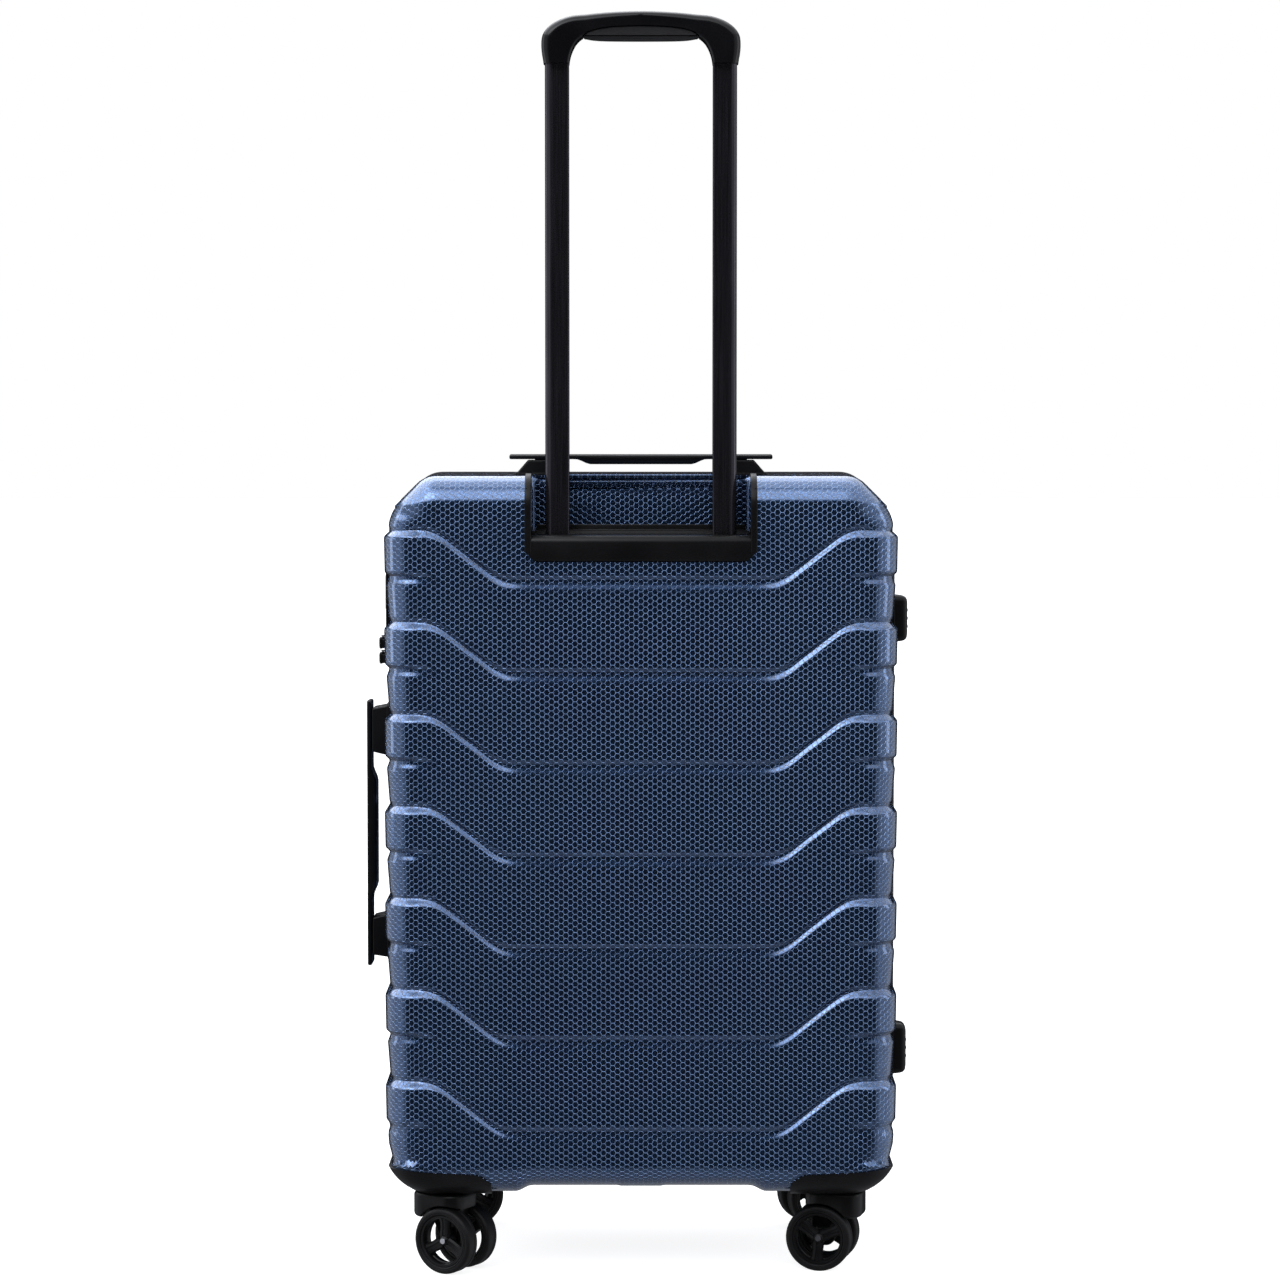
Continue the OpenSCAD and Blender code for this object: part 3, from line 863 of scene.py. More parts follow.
# ---------------------------------------------------------------- casters
WR, TRAIL, WU = 28.0, 17.0, 15.0
SWX, SWY = 172.0, 90.0
YAW = {"rl": -31.0, "rr": 165.0, "fl": 12.0, "fr": 196.0}


def seat_of(c):
    s = -1 if c[1] == "l" else 1
    t = -1 if c[0] == "r" else 1
    return CX + s * SWX, t * SWY, math.radians(YAW[c])


def mount(c):
    s = -1 if c[1] == "l" else 1
    back = c[0] == "r"
    sg = 1 if back else -1
    parts = []
    # flange that hugs the corner
    form = body_form(0.9, 120, back)
    o = [(126.2, 60), (224, 60), (224, 91.5), (208, 91.5), (136.5, 87.5), (126.2, 80)]
    out = rounded_poly([(s * x, z) for x, z in o], [2, 0, 0, 9, 9, 5], 6)
    blk = solid("blk", [[(x + CX, y * sg, z) for x, z in out] for y in (-HD - 6, -57.2)], M["black"])
    fl = boolean(form, blk, "INTERSECT")
    fl = round_edges(fl, 0.7, 2, 35)
    parts.append(fl)
    # raised rib that frames the flange and the round seat under it
    x, y, _ = seat_of(c)
    parts.append(turned("seat",
            [(5.6, 68.3), (22.5, 68.3), (24.2, 69.2), (25.2, 71.2), (25.6, 74.5), (24, 76), (5.6, 76)],
                        lambda a, b, h: (x + a, y + b, h), M["black"], 56))
    cup = body_form(1.9, 84, back)
    o = [(133, 60), (203, 60), (203, 84.6), (196, 84.6), (141, 81), (133, 76)]
    out = rounded_poly([(s * a, z) for a, z in o], [2, 2, 2, 8, 8, 5], 6)
    cup = boolean(cup, solid("blk", [[(a + CX, q * sg, z) for a, z in out] for q in (-HD - 6, -64)],
            M["black"]), "INTERSECT")
    parts.append(round_edges(cup, 0.8, 2, 35))
    return join("caster_mount_" + c, parts)


def fork_mesh(c):
    x0, y0, yaw = seat_of(c)
    ca, sa = math.cos(yaw), math.sin(yaw)
    W = lambda u, v, z: (x0 + u * ca - v * sa, y0 + u * sa + v * ca, z)
    hood = slab("hood", rrect_pts(24.6, 20.6, 14, 8, 6, 0), 45.6, 67.6, W, M["black"], 3.6, 5)
    v, f = loft([[W(TRAIL + (WR + 1.9) * math.cos(t), b,
            WR + (WR + 1.9) * math.sin(t)) for t in (2 * math.pi * i / 72 for i in range(72))]
                 for b in (-40, 40)])
    hood = boolean(hood, make("cut", v, f, M["black"]))
    hood = round_edges(hood, 0.8, 2, 40)
    leg_pts = rounded_poly([(TRAIL - 8.6, 19.2), (TRAIL + 8.6, 19.2), (25.6, 61.5), (-11.6, 61.5)],
            [8, 8, 2, 2], 8)
    leg = slab("leg", leg_pts, -6.3, 6.3, lambda u, z, b: W(u, b, z), M["black"], 1.2, 3)
    # sunk panels on both cheeks of the leg
    for sg in (-1, 1):
        pan = rounded_poly([(TRAIL - 4.2, 37), (TRAIL + 4.2, 37), (19.5, 54), (3.5, 54)], [2, 2, 2, 2], 4)
        leg = boolean(leg, solid("cut", [[W(u, b, z) for u, z in pan] for b in (sg * 5.4, sg * 9)],
                M["black"]))
    stem = turned("stem", [(0.01, 66), (9.4, 66), (9.4, 68.0), (4.95, 68.0), (4.95, 83.6), (4.2, 84.4),
            (0.01, 84.4)],
                  lambda a, b, h: W(a, b, h), M["gunmetal"], 32)
    lip = turned("lip", [(12.0, 66.4), (17.4, 66.4), (17.9, 67.2), (17.4, 68.1), (12.0, 68.1)], lambda a, b,
            h: W(a, b, h), M["black"], 48)
    return join("caster_fork_" + c, [hood, leg, stem, lip]), W


def rim_mesh(c, s, W):
    sgn = -1 if s == "a" else 1
    P = lambda a, b, h: W(TRAIL + a, sgn * (WU + h), WR + b)      # h grows outwards
    parts = []
    parts.append(turned("ring",
            [(19.3, 5.2), (20.0, 6.3), (21.6, 6.5), (22.1, 6.0), (22.1, -6.0), (21.6, -6.6), (20.2, -6.6),
            (19.5, -5.6), (19.1, 0)],
                        P, M["rim"], 64))
    parts.append(turned("web", [(18.5, 1.2), (19.6, 2.2), (19.6, -0.8), (18.8, -1.4)], P, M["rim"], 64))
    parts.append(turned("hub",
            [(1.62, -6.4), (5.6, -6.4), (6.0, -5.9), (6.0, 1.2), (4.6, 3.8), (3.4, 5.2), (2.4, 5.7),
            (1.62, 5.8)], P, M["rim"], 40))
    for i in range(3):
        t = math.radians(120 * i + (90 if s == "a" else 35))
        ct, st = math.cos(t), math.sin(t)
        rings = []
        for r, w, top, bot in ((3.4, 5.0, 4.6, -3.4), (7.0, 5.1, 4.1, -3.2), (11, 4.8, 3.6, -2.8),
                (15.5, 5.0, 3.9, -2.6), (20.0, 6.4, 5.0, -2.4)):
            sec = [(-w, top - 2.0), (-w * 0.72, top - 0.5), (-w * 0.30, top - 0.1), (-w * 0.18, top - 0.9),
                    (w * 0.18, top - 0.9), (w * 0.30, top - 0.1),
                   (w * 0.72, top - 0.5), (w, top - 2.0), (w * 0.8, bot + 0.6), (w * 0.4, bot),
                   (-w * 0.4, bot), (-w * 0.8, bot + 0.6)]
            rings.append([P(r * ct - q * st, r * st + q * ct, h) for q, h in sec])
        parts.append(soften(solid("spoke", rings, M["rim"]), 30))
    return join("wheel_rim_%s_%s" % (c, s), parts)


def tyre_mesh(c, s, W):
    sgn = -1 if s == "a" else 1
    P = lambda a, b, h: W(TRAIL + a, sgn * (WU + h), WR + b)
    arc = []
    for i in range(7):
        q = math.pi / 2 * i / 6
        arc.append((25.0 + 3.0 * math.sin(q), 7.4 - 3.0 * (1 - math.cos(q))))
    half = [(22.15, 6.5), (22.7, 7.2), (23.3, 7.4), (23.6, 7.05), (24.1, 7.05),
            (24.4, 7.4)] + arc + [(28.0, 2.4), (27.7, 2.0), (27.65, 0.3)]
    prof = half + [(r, -h) for r, h in half[::-1]]
    return turned("wheel_tyre_%s_%s" % (c, s), prof, P, M["tyre"], 96, 30)


for c in ("rl", "rr", "fl", "fr"):
    fork_o, W = fork_mesh(c)
    use(fork_o, "caster_" + c, "fork_" + c)
    # axle: headed pin
    q = [(0.01, -20.9), (2.3, -20.9), (2.6, -20.5), (2.6, -19.6), (1.45, -19.3), (1.45, 19.3), (2.6, 19.6),
            (2.6, 20.5), (2.3, 20.9), (0.01, 20.9)]
    ax = turned("axle_pin_" + c, q, lambda a, b, h: W(TRAIL + a, h, WR + b), M["steel"], 32)
    use(ax, "caster_" + c, "axle_" + c)
    for s in ("a", "b"):
        use(rim_mesh(c, s, W), "wheel_%s_%s" % (c, s), "rim_%s_%s" % (c, s))
        use(tyre_mesh(c, s, W), "wheel_%s_%s" % (c, s), "tyre_%s_%s" % (c, s))
for side, body, node_ in (("r", "case", "caster_mounts_rear"), ("f", "lid", "caster_mounts_front")):
    o = join("mounts_" + side, [mount(side + "l"), mount(side + "r")])
    soften(o, 40)
    use(o, body, node_)


# ---------------------------------------------------------------- trolley
def profile_x(name, yz, x0, x1, mat):
    v, f = loft([[(x + CX, y, z) for y, z in yz] for x in (x0, x1)])
    return make(name, v, f, mat)


def prism_xz(name, pts, y0, y1, mat):
    v, f = loft([[(x + CX, y, z) for x, z in pts] for y in (y0, y1)])
    return make(name, v, f, mat)


def arc(cx, cy, r, a0, a1, n=8, rb=None):
    return [(cx + r * math.cos(math.radians(a0 + (a1 - a0) * i / n)),
             cy + (rb or r) * math.sin(math.radians(a0 + (a1 - a0) * i / n))) for i in range(n + 1)]


def tube_outline(s, grow=0.0):
    """Trolley tube section: square inner edge, strongly rounded outer side."""
    w, d = TW / 2 + grow, TD / 2 + grow
    pts = arc(w - 8.5, 0, 8.5, -90, 90, 14, d) + arc(-w + 1.8, d - 1.8, 1.8, 90, 180, 5) + arc(-w + 1.8,
            -d + 1.8, 1.8, 180, 270, 5)
    return [(s * (TX + x), TY + y) for x, y in pts][::s]


def bezel():
    top, yf = 626.2, -HD - 0.3
    yz = [(REC_Y, REC_Z)] + [(yf + 1.2, REC_Z), (yf, REC_Z + 1.6)] + arc(yf + 6.6, top - 6.6, 6.6, 180, 92, 9)
    yz += [(-109.0, top), (-106.4, top + 0.2), (-105.2, top + 1.2), (-104.5, top + 2.6), (-103.9, top + 3.2),
           (-103.1, top + 3.4), (-102.6, top + 4.0), (-102.5, 634.2), (-102.0, 634.7), (REC_Y, 634.7)]
    o = profile_x("bezel", yz, -REC_X + 0.1, REC_X - 0.1, M["black"])
    out = rounded_poly([(-94.9, 700), (-94.9, REC_Z), (94.9, REC_Z), (94.9, 700)], [0, 10.5, 10.5, 0], 8)
    o = boolean(o, prism_xz("c", out, -150, -90, M["black"]), "INTERSECT")
    for s in (-1, 1):
        o = boolean(o, solid("c", [[(x + CX, y, z) for x, y in tube_outline(s, 0.35)] for z in (590, 650)],
                M["black"]))
    o = round_edges(o, 0.45, 2, 32)
    parts = [o]
    # edge trims that run up both sides of the recess and over the top
    for s in (-1, 1):
        path = [(-HD, REC_Z + 8 + i * (Z1 - FR - REC_Z - 8) / 8, -1.0, 0.0) for i in range(9)]
        path += [(-HD + FR * (1 - math.cos(a)), Z1 - FR + FR * math.sin(a), -math.cos(a), math.sin(a))
                 for a in (math.pi / 2 * i / 12 for i in range(1, 13))]
        path += [(-HD + FR + 2, Z1, 0, 1.0), (REC_Y - 2.4, Z1, 0, 1.0)]
        sec = rrect_pts(2.7, 1.9, 0.9, 4, 94.4, -1.0)
        rings = [[(s * a + CX, y + ny * b, z + nz * b - (0.4 if nz > 0.5 else 0)) for a, b in sec] for y, z,
                ny, nz in path]
        parts.append(soften(solid("arm", rings, M["black"]), 40))
        # fillet where the trim meets the ledge
        fil = [(91.9, top - 0.4)] + arc(85.9, top + 5.6, 6, -90, 0, 6)[1:] + [(94.9, top + 5.6),
                (94.9, top - 0.4)]
        q = prism_xz("fil", [(s * a, b) for a, b in fil], -126.5, REC_Y - 0.2, M["black"])
        parts.append(soften(q, 30))
        # slim wall under the trim, down into the recess
        wl = [(93.3, top - 1), (94.9, top - 1), (94.9, 667), (93.3, 667)]
        parts.append(round_edges(prism_xz("wall", [(s * a, b) for a, b in wl], -128, REC_Y + 0.2,
                M["black"]), 0.5, 2))
    return join("trolley_bezel_skin", parts)


use(bezel(), "case", "trolley_bezel")


def recess_corners():
    """Shell skin that rounds off the lower corners of the recess, flush with the face."""
    r = 10.5
    pts = [(95.3, REC_Z - 0.3), (95.3, REC_Z + r + 0.1), (94.9, REC_Z + r + 0.1)] + arc(94.9 - r, REC_Z + r,
            r, 0, -90, 8) + [(94.9 - r, REC_Z - 0.3)]
    v, f = [], []
    for s in (-1, 1):
        a, b = loft([[(s * x + CX, y, z) for x, z in pts] for y in (-HD, -HD + 4)])
        f += [tuple(q + len(v) for q in t) for t in b]
        v += list(a)
    return soften(make("recess_corner_skin", v, f, M["shell"], uv=[(x - CX, z) for x, y, z in v]), 35)


use(recess_corners(), "case")


def tubes():
    parts = []
    for s in (-1, 1):
        rings = []
        for z, g in ((540.0, -0.3), (540.4, 0), (700, 0), (850, 0), (1040.5, 0), (1041.0, -0.3)):
            rings.append([(x + CX, y, z) for x, y in tube_outline(s, g)])
        for z in (1041.0, 540.0):
            rings.append([(x + CX, y, z) for x, y in tube_outline(s, -1.3)])
        rings.append(rings[0])
        o = solid("tube", rings, M["tube"], caps=False)
        weld(o)
        parts.append(soften(o, 30))
    return join("trolley_tubes", parts)


use(tubes(), "trolley", "inner_tubes")


def spline(pts, n=6):
    """Smooth curve through the points."""
    P = np.array(pts, float)
    P = np.vstack([2 * P[0] - P[1], P, 2 * P[-1] - P[-2]])
    out = []
    for i in range(1, len(P) - 2):
        a, b, c, d = P[i - 1], P[i], P[i + 1], P[i + 2]
        for k in range(n):
            t = k / n
            out.append(0.5 * (2 * b + (c - a) * t + (2 * a - 5 * b + 4 * c - d) * t ** 2
                              + (3 * b - a - 3 * c + d) * t ** 3))
    out.append(P[-2])
    return np.array(out)


LENS = [(-48.3, 1039.8), (-44, 1043.2), (-36, 1045.6), (-24, 1047.3), (-10, 1048.0), (0, 1048.1),
        (10, 1048.0), (24, 1047.3), (36, 1045.6), (44, 1043.2), (48.3, 1039.8)]


def grip():
    half = [(81.0, 1017.6, 59.6, 1017.6, 7.5), (81.4, 1020.5, 59.3, 1020.5, 8),
            (82.2, 1025.0, 58.3, 1025, 8.6), (82.7, 1030, 56.6, 1029.6, 9)]
    for q, ix, iz in ((0, 54.7, 1033.2), (14, 53.6, 1034.8), (28, 52.2, 1036.4), (42, 50.6, 1037.9),
            (56, 48.9, 1039.1), (72, 46.6, 1039.9), (90, 42.5, 1040.1)):
        a = math.radians(q)
        half.append((45.7 + 37 * math.cos(a), 1036 + 21.9 * math.sin(a), ix, iz, 9.3 - 3.2 * q / 90))
    for x in (36, 26, 14):
        half.append((x, 1057.9 + 2.7 * (1 - (x / 46) ** 2), x * 0.93, 1040.1, 4.2 + 1.9 * x / 46))
    full = half + [(0, 1060.6, 0, 1040.1, 4.2)] + [(-a, b, -c, d, r) for a, b, c, d, r in half[::-1]]
    P = spline(full, 5)
    rings = []
    for ox, oz, ix, iz, ro in P:
        L = math.hypot(ox - ix, oz - iz)
        dx, dz = (ox - ix) / L, (oz - iz) / L
        D, ri = 13.0, 2.6
        sec = []
        ro = min(ro, L * 0.46)
        bo = 7.0
        # outer rounding stops short of the face so that a soft crease is left
        for i in range(8):
            a = math.radians(90 - 78 * i / 7)
            sec.append((L - ro + ro * math.sin(a), -(D - bo + bo * math.cos(a) / math.cos(math.radians(12)))))
        sec.append((L - ro - 0.6, -D))
        for i in range(5):
            a = math.radians(90 * i / 4)
            sec.append((ri - ri * math.sin(a), -(D - ri + ri * math.cos(a))))
        sec += [(a, -b) for a, b in sec[::-1]]
        rings.append([(ix + dx * a + CX, TY + b, iz + dz * a) for a, b in sec])
    o = solid("grip", rings, M["gloss"])
    # the trigger's opening and its pocket
    o = boolean(o, prism_xz("c", [(-48.6, 1030)] + [(x, z + 0.25) for x, z in LENS] + [(48.6, 1030)],
            TY - 20, TY + 20, M["gloss"]))
    o = boolean(o, prism_xz("c", [(-48.6, 1030)] + [(x, z + 4.5) for x, z in LENS] + [(48.6, 1030)],
            TY - 11.8, TY + 11.8, M["gloss"]))
    for s in (-1, 1):
        o = boolean(o, solid("c",
                [[(x + CX, y, z) for x, y in tube_outline(s, 0.12)] for z in (1000, 1041.2)], M["gloss"]))
    bar = rounded_poly([(-73.2, 1041), (73.2, 1041), (73.2, 1048.2), (64, 1052), (-64, 1052),
            (-73.2, 1048.2)], 0.3, 2)
    o = boolean(o, prism_xz("c", bar, TY - 4.6, TY + 4.6, M["gloss"]))
    o = soften(o, 28)
    return join("trolley_grip_skin", [o])


use(grip(), "trolley", "trolley_grip")


def trigger():
    low = [(47.6, 1039.6), (40, 1038.2), (28, 1037.5), (0, 1037.3), (-28, 1037.5), (-40, 1038.2),
            (-47.6, 1039.6)]
    up = [(x * 0.985, z - 0.05) for x, z in LENS]
    out = [tuple(p) for p in spline(up, 4)] + [tuple(p) for p in spline(low, 4)]
    o = slab("trigger", out, -11.6, 11.6, lambda x, z, b: (x + CX, TY + b, z), M["rough"], 1.0, 4)
    # cross bar that lifts both push rods
    bar = prism_xz("bar", [(-72.4, 1043.3), (72.4, 1043.3), (72.4, 1043.9), (61, 1047.4), (-61, 1047.4),
            (-72.4, 1043.9)], TY - 4, TY + 4, M["rough"])
    return join("release_trigger_skin", [o, round_edges(bar, 0.4, 2)])


use(trigger(), "trigger", "release_trigger")

# ---------------------------------------------------------------- carry handles and feet
HY, HWID = -36.0, 16.0
g_lo, g_hi = box("top_handle_grip")
h_lo, h_hi = box("side_handle_grip")


def handle(name, place, half, h0, h1, belly, belly_l, legs, leg0):
    """A strap-shaped rigid grip: plate with a crowned top, a belly for the fingers and two posts."""
    stations = [-half, -half + 0.5, -half + 1.2] + list(np.linspace(-half + 4, half - 4, 61)) + [half - 1.2,
            half - 0.5, half]
    rings = []
    for l in stations:
        e = 1.0 - min(1.0, (half - abs(l)) / 1.2)
        sh = 0.9 * (1 - math.sqrt(max(0, 1 - e * e)))
        k = float(1 - step(np.array((abs(l) - belly_l + 9) / 13.0)))
        bot = h0 - (h0 - belly) * k
        w = HWID - sh - 0.9 * k
        top = h1 - sh
        sec = []
        crown = 0.7
        for i in range(13):
            t = -1 + 2 * i / 12
            sec.append((t * (w - 1.3), top - crown * t * t))
        sec += [(w - 0.4, top - crown - 0.35), (w, top - crown - 1.1)]
        lo = bot + sh
        sec += [(w, lo + 1.3 + 1.2 * k), (w - 0.5 - 0.6 * k, lo + 0.45 + 0.3 * k), (w - 1.5 - 1.8 * k, lo)]
        sec += [(-a, b) for a, b in sec[-3:][::-1]] + [(-w, top - crown - 1.1),
                (-w + 0.4, top - crown - 0.35)]
        rings.append([place(l, HY + a, b) for a, b in sec])
    parts = [soften(solid(name, rings, M["black"]), 40)]
    for l in legs:
        parts.append(soften(solid("post",
                [[place(l + a, HY + b, h) for a, b in rrect_pts(7, 9, 1.5, 3)] for h in (leg0, h0 + 0.8)],
                M["black"]), 40))
    return join(name, parts)


def bases(name, place, blocks, bottom):
    parts = []
    for pts, c in blocks:
        out = rounded_poly(pts, [0.3, 0.3, 2.2, 2.2], 4)
        o = slab("base", out, -HWID, HWID, lambda l, h, b: place(l, HY + b, h), M["black"], 1.6, 4)
        o = boolean(o, solid("c",
                [[place(c + a, HY + b, h) for a, b in rrect_pts(7.3, 9.3, 1.6, 3)] for h in (1.0, 30)],
                M["black"]))
        # foot flange
        ls = [p[0] for p in pts]
        fl = rrect_pts((max(ls) - min(ls)) / 2 + 0.8, HWID + 0.8, 3.0, 4, (max(ls) + min(ls)) / 2, 0)
        q = round_edges(solid("flange", [[place(a, HY + b, h) for a, b in fl] for h in (bottom, 0.7)],
                M["black"]), 0.5, 2)
        parts += [soften(o, 35), q]
    return join(name, parts)


top_at = lambda l, y, h: (CX + l, y, Z1 + h)
side_at = lambda l, y, h: (CX - HW - h, y, l)
TH = (g_hi[0] - g_lo[0]) / 2
use(handle("top_handle", top_at, TH, 12.3, 16.7, 8.0, 52, (-84, 84), 1.4),
        "top_handle", "top_handle_grip")
use(bases("top_handle_blocks", top_at,
        [([(s * 61.8, -1.2), (s * 108, -1.2), (s * 96.5, 11.9), (s * 66, 11.9)], s * 84) for s in (-1, 1)],
                  -1.2), "case", "top_handle_bases")
SC, SHL = (h_lo[2] + h_hi[2]) / 2, (h_hi[2] - h_lo[2]) / 2
mid_at = lambda l, y, h: side_at(l + SC, y, h)
use(handle("side_handle", mid_at, SHL, 14.1, 18.5, 9.8, 53, (279.8 - SC, 456.65 - SC), 1.4), "side_handle", "side_handle_grip")
use(bases("side_handle_blocks", side_at,
                  [([(260, -5.6), (299.6, -5.6), (295.2, 13.7), (263, 13.7)], 279.8),
                  ([(433.9, -5.6), (479.4, -5.6), (475.8, 13.7), (438.4, 13.7)], 456.65)],
                  -5.6), "case", "side_handle_bases")


def feet():
    parts = []
    for z0, z1 in ((156.7, 201.4), (531.9, 572.7)):
        zc, hz = (z0 + z1) / 2, (z1 - z0) / 2
        place = lambda y, z, h: (CX + h, y, z)
        rings = []
        for h, sh in ((HW - 6, -1.6), (HW + 0.6, -1.6), (HW + 1.1, -1.0), (HW + 1.3, 0), (HW + 7.5, 0.7),
                (HW + 9.6, 1.3), (HW + 11.2, 2.5),
                      (HW + 12.0, 4.0), (HW + 12.4, 6.2)):
            rings.append([place(a, b, h) for a,
                    b in rrect_pts(13 - sh, hz - sh, max(1.2, 5.5 - sh * 0.4), 6, -25, zc)])
        parts.append(soften(solid("foot", rings, M["black"]), 32))
        # ribs on the standing face
        for k in (-1, 0, 1):
            parts.append(slab("rib", rrect_pts(6.2, 1.2, 1.1, 4, -25, zc + k * 7), HW + 11.8, HW + 12.9,
                    place, M["rough"], 0.4, 2))
    return join("side_feet_skin", parts)


use(feet(), "case", "side_feet")


# ---------------------------------------------------------------- lock, dials, key and zip pulls
LX = CX - HW                              # plane of the closed side's wall
l_lo, l_hi = box("lock_case")
wall_at = lambda y, z, h: (LX - h, y, z)  # h grows outwards
PZ = [517.5, 530.5]                       # heights of the two zip pulls
LOCK_Y = -25.0                            # middle of the dials, button and key
KEY_Z, DIALS_Z, BUTTON_Z = 551.0, 575.0, 598.0
DIAL_AT = [565.2 + 9.8 * i for i in range(3)]


def lock_case():
    y0, y1, z0, z1 = l_lo[1], l_hi[1], l_lo[2], l_hi[2]
    rings = []
    yc, zc, hy_, hz = (y0 + y1) / 2, (z0 + z1) / 2, (y1 - y0) / 2, (z1 - z0) / 2
    for h, sh in ((-11, 0.2), (-0.2, 0.2), (0.2, 0), (1.2, 0), (1.7, 0.35), (1.95, 0.9), (2.0, 1.6)):
        rings.append([wall_at(a, b, h) for a, b in rrect_pts(hy_ - sh, hz - sh, 6 - sh * 0.6, 8, yc, zc)])
    o = soften(solid("lock", rings, M["gloss"]), 30)

    def cut(pts, h0, h1):
        return solid("c", [[wall_at(a, b, h) for a, b in pts] for h in (h0, h1)], M["gloss"])
    o = boolean(o, cut(rrect_pts(9, 13.2, 1.4, 4, LOCK_Y, DIALS_Z), -9.6, 5))
    o = boolean(o, cut(rrect_pts(6.2, 4.2, 2.6, 6, LOCK_Y, BUTTON_Z), -8.6, 5))
    o = boolean(o, cut(arc(LOCK_Y, KEY_Z, 4.56, 0, 360, 48)[:-1], -8.6, 5))
    for z in PZ:
        o = boolean(o, cut(rrect_pts(4, 4.9, 0.8, 3, -23.5, z), -4, 5))
    parts = [soften(o, 35)]
    # raised frame round the dials and a ring round the key
    for pts, hole in ((rrect_pts(11, 15.2, 3, 6, LOCK_Y, DIALS_Z),
            rrect_pts(9.1, 13.3, 1.5, 6, LOCK_Y, DIALS_Z)),
                      (arc(LOCK_Y, KEY_Z, 6.1, 0, 360, 48)[:-1], arc(LOCK_Y, KEY_Z, 4.6, 0, 360, 48)[:-1])):
        n = min(len(pts), len(hole))
        pts, hole = pts[:n], hole[:n]
        rings = [[wall_at(a, b, 1.6) for a, b in pts], [wall_at(a, b, 2.3) for a, b in pts],
                 [wall_at(a + (c - a) * 0.3, b + (d - b) * 0.3, 2.7) for (a, b), (c, d) in zip(pts, hole)],
                 [wall_at(a + (c - a) * 0.8, b + (d - b) * 0.8, 2.6) for (a, b), (c, d) in zip(pts, hole)],
                 [wall_at(a, b, 2.2) for a, b in hole], [wall_at(a, b, 1.6) for a, b in hole]]
        rings.append(rings[0])
        parts.append(soften(solid("frame", rings, M["gloss"], caps=False), 35))
    # small pointer beside every dial
    for z in DIAL_AT:
        parts.append(soften(solid("mark",
                [[wall_at(a, b, h) for a,
                b in ((-35.2, z), (-37.6, z + 1.1), (-37.6, z - 1.1))] for h in (1.8, 2.25)], M["steel"]),
                        30))
    return join("lock_case_skin", parts)


use(lock_case(), "case", "lock_case")

for i, zc in enumerate(DIAL_AT):
    rings = []
    n = 80
    for z, r0, dep in ((-3.0, 5.2, 0), (-2.9, 5.7, 0.1), (-2.3, 6.12, 0.5), (-0.6, 6.12, 0.5),
            (-0.45, 5.75, 0.1), (0.45, 5.75, 0.1),
                       (0.6, 6.12, 0.5), (2.3, 6.12, 0.5), (2.9, 5.7, 0.1), (3.0, 5.2, 0)):
        rings.append([(CX - 214.2 + (r0 - dep * (1 if (k % 8) in (3,
                4) else 0)) * math.cos(2 * math.pi * k / n),
                       -25 + (r0 - dep * (1 if (k % 8) in (3, 4) else 0)) * math.sin(2 * math.pi * k / n),
                       zc + z) for k in range(n)])
    for z in (3.0, -3.0):
        rings.append([(CX - 214.2 + 1.5 * math.cos(2 * math.pi * k / n),
                -25 + 1.5 * math.sin(2 * math.pi * k / n), zc + z) for k in range(n)])
    rings.append(rings[0])
    v, f = loft(rings, caps=False)
    o = soften(make("dial_wheel_%d" % (i + 1), v, f, M["gunmetal"]), 28)
    use(o, "dial_%d" % (i + 1), "dial_%d" % (i + 1))

rings = []
for h, sh in ((-7, 0), (2.4, 0), (3.2, 0.3), (3.7, 1.0), (3.6, 1.9), (3.35, 2.6)):
    rings.append([wall_at(a, b, h) for a,
            b in rrect_pts(5.9 - sh, 3.9 - sh, max(0.5, 2.4 - sh * 0.6), 8, LOCK_Y, BUTTON_Z)])
use(soften(solid("lock_button_cap", rings, M["black"]), 30), "button", "lock_button")

key = turned("key_plug", [(0.01, -7.5), (4.42, -7.5), (4.42, 1.5), (4.1, 1.95), (3.4, 2.1), (0.01, 2.1)],
        lambda a, b, h: wall_at(LOCK_Y + a, KEY_Z + b, h), M["steel"], 56)
key = soften(boolean(key,
        solid("c", [[wall_at(a, b, h) for a, b in rrect_pts(0.55, 2.6, 0.4, 3, LOCK_Y, KEY_Z)] for h in (-2,
        4)], M["steel"])), 35)
use(key, "key", "key_cylinder")


def sliders():
    parts = []
    for z in PZ:
        pts = rounded_poly([(-4.4, z - 5.7), (4.4, z - 5.7), (3.6, z + 1), (4.0, z + 5.7), (-4.0, z + 5.7),
                (-3.6, z + 1)], [2, 2, 3, 1.6, 1.6, 3], 5)
        parts.append(slab("body", pts, 2.2, 4.6, wall_at, M["gunmetal"], 0.7, 3))
        for s in (-1, 1):
            lug = rounded_poly([(-1.9, 4.2), (1.9, 4.2), (1.5, 8.9), (-1.5, 8.9)], [0.2, 0.2, 1.4, 1.4], 5)
            parts.append(slab("lug", lug, z + s * 5.2 - 0.6, z + s * 5.2 + 0.6, lambda y, h,
                    b: wall_at(y, b, h), M["gunmetal"], 0.25, 2))
        parts.append(rod("pin", wall_at(0, z - 5.4, 7.4), wall_at(0, z + 5.4, 7.4), 0.95, M["steel"], 20))
    return join("zip_sliders", parts)


use(sliders(), "case", "zipper_sliders")

